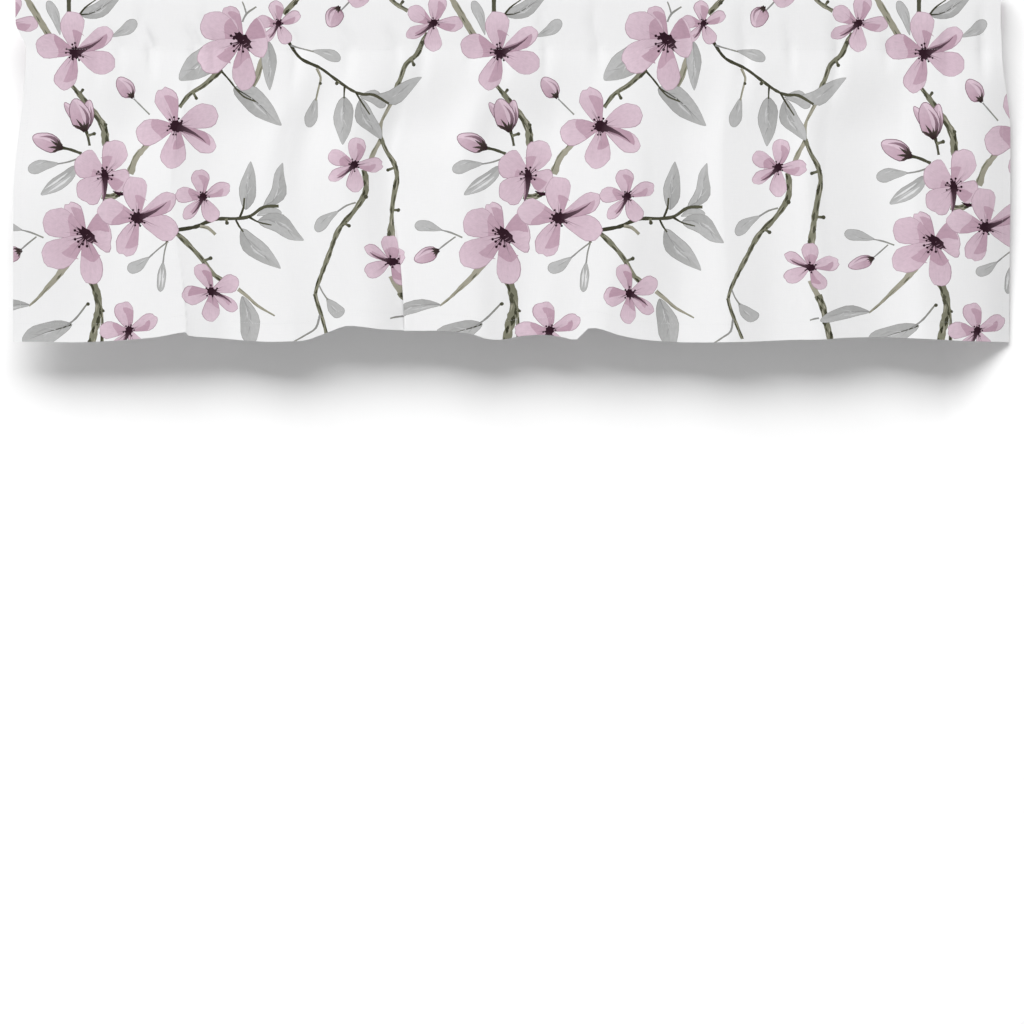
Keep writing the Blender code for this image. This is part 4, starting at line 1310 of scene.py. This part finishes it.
def build_cloth(sizes, inks):
    """The whole cloth as a closed thin sheet, printed on its face and paler behind."""
    cloth = HungCloth(sizes)
    last_row = cloth.stitch_row + cloth.panel_length / STEP
    half = max(-ROD_LEFT, FOLDS[-1].across, -FOLDS[0].across) / STEP + 4
    patches = repeated(
        Print(inks).draw(), MIDDLE_COLUMN - half, MIDDLE_COLUMN + half, cloth.first_row, last_row
    )
    front = cloth_side(cloth, patches, np.empty((0, 2)))
    rim_places = front.places[np.unique(rim_of(front.triangles))]
    back = cloth_side(cloth, [patch for patch in patches if patch.main], rim_places)
    rim_faces = joining_faces(front, back)
    # The chart's rows run down, so that its triangles turn the other way when seen from the front
    faces = np.vstack((front.triangles[:, ::-1], back.triangles + len(front.places), rim_faces))
    behind = back.point - back.normal * back.thick[:, None]
    piece = new_mesh("printed_cloth", np.vstack((front.point, behind)), faces)
    mesh = piece.data
    print_on(mesh, front, back, rim_faces.size)
    map_cloth(mesh, front, back, faces, len(rim_faces))
    # The hems are turned to the back, so that they show the printed side there
    in_hem = back.turned[back.triangles].mean(axis=1) > WHOLLY_TURNED
    slots = np.zeros(len(faces))
    slots[len(front.triangles) : -len(rim_faces)] = np.where(in_hem, 0, 1)
    fill(mesh.polygons, "material_index", slots, np.int32)
    mesh.materials.append(cloth_material("printed_face", sizes, inks, 1.0))
    mesh.materials.append(cloth_material("printed_reverse", sizes, inks, inks.reverse_share))
    mesh.normals_split_custom_set_from_vertices(np.vstack((front.normal, back_normals(cloth, back))).tolist())
    return piece


def stitch_faces(sides, rings):
    """Triangles round one stitch and over its two ends."""
    faces = []
    for ring in range(rings - 1):
        for side in range(sides):
            here, beyond = ring * sides + side, ring * sides + (side + 1) % sides
            faces += [(here, beyond, beyond + sides), (here, beyond + sides, here + sides)]
    last = (rings - 1) * sides
    for side in range(1, sides - 1):
        faces += [(0, side + 1, side), (last, last + side, last + side + 1)]
    return np.array(faces)


def stitches(name, cloth, path, sizes, behind=False):
    """A row of stitches along a path of chart places, as one mesh of thread."""
    face, normal = cloth.points(*path), cloth.normals(*path)
    if behind:
        face = face - normal * cloth.thickness(*path)[0][:, None]
        normal = -normal
    travelled = np.concatenate(([0.0], np.cumsum(np.linalg.norm(np.diff(face, axis=0), axis=1))))
    pitch = sizes.stitch_length + sizes.stitch_gap
    starts = np.arange(sizes.stitch_gap, travelled[-1] - sizes.stitch_length, pitch)
    count, sides, radius = len(starts), THREAD_SIDES, sizes.thread_diameter / 2
    share, lift, wide = (np.tile(column, count) for column in np.array(STITCH_RINGS).T)
    spots = np.repeat(starts, len(STITCH_RINGS)) + share * sizes.stitch_length

    def at(values):
        return np.stack([np.interp(spots, travelled, values[:, axis]) for axis in range(3)], axis=1)

    centre, up, ahead = at(face), unit(at(normal)), unit(at(np.gradient(face, axis=0)))
    beside = np.cross(ahead, up)
    lift, wide = lift[:, None] * radius, wide[:, None] * radius
    points = np.stack([
        centre + up * (lift + wide * math.sin(angle)) + beside * wide * math.cos(angle)
        for angle in whole_turn(sides)
    ], axis=1)
    each = sides * len(STITCH_RINGS)
    faces = stitch_faces(sides, len(STITCH_RINGS))
    joined = (faces[None] + (np.arange(count) * each)[:, None, None]).reshape(-1, 3)
    piece = new_mesh(name, points.reshape(-1, 3), joined)
    along = np.repeat(share, sides) * sizes.stitch_length
    around = np.tile(whole_turn(sides) * radius, count * len(STITCH_RINGS))
    twist = np.stack((along, around), axis=1)[joined.ravel()]
    fill(piece.data.uv_layers.new(name="twist").uv, "vector", twist)
    return piece


def group_tree(name, inputs, outputs):
    """A node group with named inputs and outputs, and the nodes that hold them."""
    tree = bpy.data.node_groups.new(name, "ShaderNodeTree")
    for label, kind, value in inputs:
        socket = tree.interface.new_socket(name=label, in_out="INPUT", socket_type=kind)
        if value is not None:
            socket.default_value = value
    for label, kind in outputs:
        tree.interface.new_socket(name=label, in_out="OUTPUT", socket_type=kind)
    return tree, tree.nodes.new("NodeGroupInput"), tree.nodes.new("NodeGroupOutput")


def join(tree, value, socket):
    """Links another node's output to a socket, or gives the socket a plain value."""
    if isinstance(value, bpy.types.NodeSocket):
        tree.links.new(value, socket)
    else:
        socket.default_value = value


def node(tree, kind, inputs=(), **settings):
    """A node with its settings, and with values or links on its inputs."""
    made = tree.nodes.new(kind)
    for key, value in settings.items():
        setattr(made, key, value)
    for key, value in dict(inputs).items():
        join(tree, value, made.inputs[key])
    return made


def maths(tree, operation, *values, **settings):
    """What a Math node makes of values or other nodes' outputs."""
    inputs = dict(enumerate(values))
    return node(tree, "ShaderNodeMath", inputs, operation=operation, **settings).outputs[0]


def vector_maths(tree, operation, inputs):
    return node(tree, "ShaderNodeVectorMath", inputs, operation=operation).outputs[0]


def noise(tree, place, scale, detail):
    inputs = {"Vector": place, "Scale": scale, "Detail": detail}
    return node(tree, "ShaderNodeTexNoise", inputs).outputs["Fac"]


def mixed_colour(tree, share, first, second, blend="MIX"):
    inputs = {0: share, 6: first, 7: second}
    return node(tree, "ShaderNodeMix", inputs, data_type="RGBA", blend_type=blend).outputs[2]


def bump(tree, shader, strength, distance, height):
    made = node(tree, "ShaderNodeBump", {"Strength": strength, "Distance": distance, "Height": height})
    tree.links.new(made.outputs["Normal"], shader.inputs["Normal"])


def weave_group():
    """Height and shade of a plain weave whose threads vary in thickness."""
    found = bpy.data.node_groups.get("plain_weave")
    if found:
        return found
    tree, given, result = group_tree(
        "plain_weave",
        (("Flat Place", "NodeSocketVector", None), ("Pitch", "NodeSocketFloat", 0.00045)),
        (("Height", "NodeSocketFloat"), ("Shade", "NodeSocketFloat")),
    )
    flat = given.outputs["Flat Place"]
    half_turn = maths(tree, "DIVIDE", math.pi, given.outputs["Pitch"])
    turned = vector_maths(tree, "SCALE", {0: flat, "Scale": half_turn})
    turns = node(tree, "ShaderNodeSeparateXYZ", {0: turned})
    over = maths(tree, "MULTIPLY", *(maths(tree, "SINE", turns.outputs[axis]) for axis in ("X", "Y")))
    drawn = [vector_maths(tree, "MULTIPLY", {0: flat, 1: stretch}) for stretch in SLUBS]
    both = maths(tree, "ADD", *(noise(tree, place, 1.0, 2.0) for place in drawn))
    join(tree, maths(tree, "MULTIPLY_ADD", over, WEAVE_RELIEF, both), result.inputs["Height"])
    limits = {"Value": both, "From Min": 0.6, "From Max": 1.4, "To Min": 0.975, "To Max": 1.015}
    join(tree, node(tree, "ShaderNodeMapRange", limits).outputs[0], result.inputs["Shade"])
    return tree


def ink_group():
    """The cloth's colour under a printed ink that is mottled and streaked as by a brush."""
    found = bpy.data.node_groups.get("brushed_ink")
    if found:
        return found
    tree, given, result = group_tree(
        "brushed_ink",
        (
            ("Cloth", "NodeSocketColor", None), ("Ink", "NodeSocketColor", None),
            ("Inked", "NodeSocketFloat", 0.0), ("Brush", "NodeSocketVector", None),
            ("Flat Place", "NodeSocketVector", None), ("Share", "NodeSocketFloat", 1.0),
            ("Unevenness", "NodeSocketFloat", 0.3),
        ),
        (("Color", "NodeSocketColor"),),
    )
    pools = noise(tree, given.outputs["Flat Place"], POOL_SCALE, 3.0)
    drawn = vector_maths(tree, "MULTIPLY", {0: given.outputs["Brush"], 1: STREAK_SCALE})
    streaks = noise(tree, drawn, 1.0, 3.0)
    spread = maths(tree, "SUBTRACT", maths(tree, "ADD", pools, streaks), 1.0)
    uneven = maths(tree, "MULTIPLY_ADD", spread, given.outputs["Unevenness"], 1.0)
    wash = vector_maths(tree, "SCALE", {0: given.outputs["Ink"], "Scale": uneven})
    masked = maths(tree, "MULTIPLY", given.outputs["Share"], given.outputs["Inked"], use_clamp=True)
    tinted = mixed_colour(tree, masked, (1, 1, 1, 1), wash)
    printed = mixed_colour(tree, 1.0, given.outputs["Cloth"], tinted, "MULTIPLY")
    join(tree, printed, result.inputs["Color"])
    return tree


def new_material(name, finish):
    """A material, its tree and its shader, with the finish set on the shader's own inputs."""
    material = bpy.data.materials.new(name)
    material.use_nodes = True
    shader = material.node_tree.nodes["Principled BSDF"]
    for label, value in finish.items():
        shader.inputs[label].default_value = value
    return material, material.node_tree, shader


def cloth_material(name, sizes, inks, share):
    """Printed plain-woven cloth. Share is how much of the print shows on this side."""
    finish = {"Roughness": 0.88, "Sheen Weight": 0.05, "Sheen Roughness": 0.6, "Specular IOR Level": 0.15}
    material, tree, shader = new_material(name, finish)
    flat = node(tree, "ShaderNodeUVMap", uv_map="flat_cloth").outputs["UV"]
    weave = node(tree, "ShaderNodeGroup", node_tree=weave_group())
    join(tree, flat, weave.inputs["Flat Place"])
    join(tree, sizes.thread_pitch, weave.inputs["Pitch"])
    ink = node(tree, "ShaderNodeAttribute", attribute_name="ink")
    brush = node(tree, "ShaderNodeAttribute", attribute_name="brush")
    cloth = mixed_colour(tree, 1.0, (*inks.cloth, 1.0), weave.outputs["Shade"], "MULTIPLY")
    printed = node(tree, "ShaderNodeGroup", node_tree=ink_group())
    for label, value in (
        ("Cloth", cloth), ("Ink", ink.outputs["Color"]), ("Inked", ink.outputs["Alpha"]),
        ("Brush", brush.outputs["Vector"]), ("Flat Place", flat), ("Share", share), ("Unevenness", 0.22),
    ):
        join(tree, value, printed.inputs[label])
    join(tree, printed.outputs["Color"], shader.inputs["Base Color"])
    bump(tree, shader, 0.22, 0.0001, weave.outputs["Height"])
    return material


def thread_material():
    """White sewing thread with its twist, with painted shade in the twist's grooves and lighter colour on its
    ridges.
    """
    found = bpy.data.materials.get("sewing_thread")
    if found:
        return found
    material, tree, shader = new_material("sewing_thread", {"Roughness": 0.7})
    twist = node(tree, "ShaderNodeUVMap", uv_map="twist").outputs["UV"]
    turned = vector_maths(tree, "MULTIPLY", {0: twist, 1: TWIST_SCALE})
    turns = node(tree, "ShaderNodeSeparateXYZ", {0: turned})
    twist_relief_and_shade = maths(tree, "SINE", maths(tree, "ADD", turns.outputs["X"], turns.outputs["Y"]))
    # Painted shade: the thread's colour follows the twist's relief, darker in the grooves and lighter on the
    # ridges
    limits = {"Value": twist_relief_and_shade, "From Min": -1.0, "To Min": 0.66, "To Max": 0.80}
    join(tree, node(tree, "ShaderNodeMapRange", limits).outputs[0], shader.inputs["Base Color"])
    bump(tree, shader, 0.4, 0.00005, twist_relief_and_shade)
    return material


def stage_material():
    """Plain white paper that shows from its face only, so that it doesn't hide the cloth from behind."""
    finish = {"Roughness": 0.95, "Base Color": (0.99, 0.99, 0.99, 1.0), "Specular IOR Level": 0.0}
    material, tree, shader = new_material("studio_paper", finish)
    clear = node(tree, "ShaderNodeBsdfTransparent")
    facing = node(tree, "ShaderNodeNewGeometry")
    sides = {0: facing.outputs["Backfacing"], 1: shader.outputs[0], 2: clear.outputs[0]}
    either = node(tree, "ShaderNodeMixShader", sides)
    join(tree, either.outputs[0], tree.nodes["Material Output"].inputs["Surface"])
    return material


def build_stage(studio):
    """A paper sweep: the wall behind the cloth, nearest behind its right end, which curves into the floor."""
    profile = [(0.0, SWEEP_TOP), (0.0, SWEEP_MIDDLE)]
    for angle in np.linspace(0, math.pi / 2, SWEEP_STEPS):
        forward = SWEEP_BEND * (math.cos(angle) - 1)
        profile.append((forward, SWEEP_FLOOR + SWEEP_BEND * (1 - math.sin(angle))))
    profile.append((SWEEP_FRONT, SWEEP_FLOOR))
    bowed = np.linspace(BOW_START, BOW_END, BOW_COLUMNS)
    sides = np.concatenate(((-SWEEP_HALF, BOW_START - BOW_EDGE), bowed, (BOW_END + BOW_EDGE, SWEEP_HALF)))
    bow = (studio.side_gap - studio.wall_gap) * smoothstep((sides - BOW_START) / (BOW_END - BOW_START))
    points = [
        (side, studio.wall_gap + nearer + depth, height)
        for depth, height in profile for side, nearer in zip(sides, bow)
    ]
    faces = []
    for row in range(len(profile) - 1):
        for left in range(row * len(sides), (row + 1) * len(sides) - 1):
            below = left + len(sides)
            faces += [(left, below, below + 1), (left, below + 1, left + 1)]
    sweep = new_mesh("studio_sweep", np.array(points), np.array(faces))
    sweep.data.materials.append(stage_material())


class MakeCloth(bpy.types.Operator):
    """Hangs the printed cloth in its folds, with its rod pocket and turned hems"""

    bl_idname = "valance.make_cloth"
    bl_label = "Make the cloth"

    def execute(self, context):
        piece = build_cloth(context.scene.valance_sizes, context.scene.valance_inks)
        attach(piece, "root")
        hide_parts("valance_panel", "rod_pocket")
        return {"FINISHED"}


class SewStitches(bpy.types.Operator):
    """Sews the pocket's seam and the hems with running stitches"""

    bl_idname = "valance.sew_stitches"
    bl_label = "Sew the stitches"

    def execute(self, context):
        sizes = context.scene.valance_sizes
        cloth = HungCloth(sizes)
        flats = np.linspace(END_MARGIN, cloth.width - END_MARGIN, ROW_SURVEY)
        stitched = cloth.along(flats, STITCH_LEFT, STITCH_RIGHT) / STEP + MIDDLE_COLUMN
        seam = (stitched, np.full(len(flats), cloth.stitch_row - SEAM_RISE))
        flap = (stitched, np.full(len(flats), cloth.first_row + FLAP_END / STEP))
        hem = cloth.panel_chart(flats, 1 - HEM_PLACE * sizes.bottom_hem / cloth.panel_length)
        side_end = 1 - SIDE_END * sizes.bottom_hem / cloth.panel_length
        shares = np.linspace(SIDE_START, side_end, SIDE_SURVEY)
        from_side = SIDE_PLACE * sizes.side_hem
        left, right = (cloth.panel_chart(flat, shares) for flat in (from_side, cloth.width - from_side))
        made = [
            stitches("pocket_seam", cloth, seam, sizes),
            stitches("pocket_seam_behind", cloth, flap, sizes),
        ]
        for name, path in (("hem_stitches", hem), ("left_stitches", left), ("right_stitches", right)):
            made.append(stitches(name, cloth, path, sizes))
            made.append(stitches(name + "_behind", cloth, path, sizes, behind=True))
        for piece in made:
            piece.data.materials.append(thread_material())
            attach(piece, "root")
        return {"FINISHED"}


class SetStudio(bpy.types.Operator):
    """Sets up the plain wall, the soft light and the camera"""

    bl_idname = "valance.set_studio"
    bl_label = "Set up the studio"

    def execute(self, context):
        scene, studio = context.scene, context.scene.valance_studio
        build_stage(studio)
        key = bpy.data.lights.new("key_light", "AREA")
        key.shape = "RECTANGLE"
        key.energy = studio.key_power
        key.size = 2 * studio.key_distance * math.tan(studio.key_wide / 2)
        key.size_y = 2 * studio.key_distance * math.tan(studio.key_tall / 2)
        lamp = bpy.data.objects.new("key_light", key)
        aside, height = studio.key_side, studio.key_height
        flatwise = math.cos(height)
        towards = Vector((-math.sin(aside) * flatwise, -math.cos(aside) * flatwise, math.sin(height)))
        lamp.location = studio.key_distance * towards
        lamp.rotation_euler = (-lamp.location).to_track_quat("-Z", "Y").to_euler()
        scene.collection.objects.link(lamp)
        world = bpy.data.worlds.new("studio_room")
        world.use_nodes = True
        world.node_tree.nodes["Background"].inputs["Color"].default_value = (1.0, 1.0, 1.0, 1.0)
        world.node_tree.nodes["Background"].inputs["Strength"].default_value = studio.sky
        scene.world = world
        camera = bpy.data.cameras.new("camera")
        camera.lens = camera.sensor_width * studio.camera_distance / (PICTURE * STEP)
        camera.clip_end = CLIP_END
        holder = bpy.data.objects.new("camera", camera)
        middle = (PICTURE / 2 - MIDDLE_COLUMN) * STEP
        holder.location = (middle, -studio.camera_distance, (TOP_ROW - PICTURE / 2) * STEP)
        holder.rotation_euler = (math.pi / 2, 0, 0)
        scene.collection.objects.link(holder)
        scene.camera = holder
        scene.view_settings.view_transform = "Standard"
        return {"FINISHED"}


class ValancePanel(bpy.types.Panel):
    """Lists the valance's sizes, inks and steps"""

    bl_idname = "VIEW3D_PT_valance"
    bl_label = "Valance"
    bl_space_type = "VIEW_3D"
    bl_region_type = "UI"
    bl_category = "Valance"

    def draw(self, context):
        for group in (context.scene.valance_sizes, context.scene.valance_inks, context.scene.valance_studio):
            box = self.layout.box()
            for name in group.__annotations__:
                box.prop(group, name)
        for operator in (MakeCloth, SewStitches, SetStudio):
            self.layout.operator(operator.bl_idname)


CLASSES = (ValanceSizes, PrintInks, StudioSetup, MakeCloth, SewStitches, SetStudio, ValancePanel)


def register():
    for each in CLASSES:
        bpy.utils.register_class(each)
    bpy.types.Scene.valance_sizes = PointerProperty(type=ValanceSizes)
    bpy.types.Scene.valance_inks = PointerProperty(type=PrintInks)
    bpy.types.Scene.valance_studio = PointerProperty(type=StudioSetup)


def unregister():
    del bpy.types.Scene.valance_studio
    del bpy.types.Scene.valance_inks
    del bpy.types.Scene.valance_sizes
    for each in reversed(CLASSES):
        bpy.utils.unregister_class(each)


def main():
    register()
    bpy.ops.valance.make_cloth()
    bpy.ops.valance.sew_stitches()
    bpy.ops.valance.set_studio()
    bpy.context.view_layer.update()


if __name__ == "__main__":
    main()
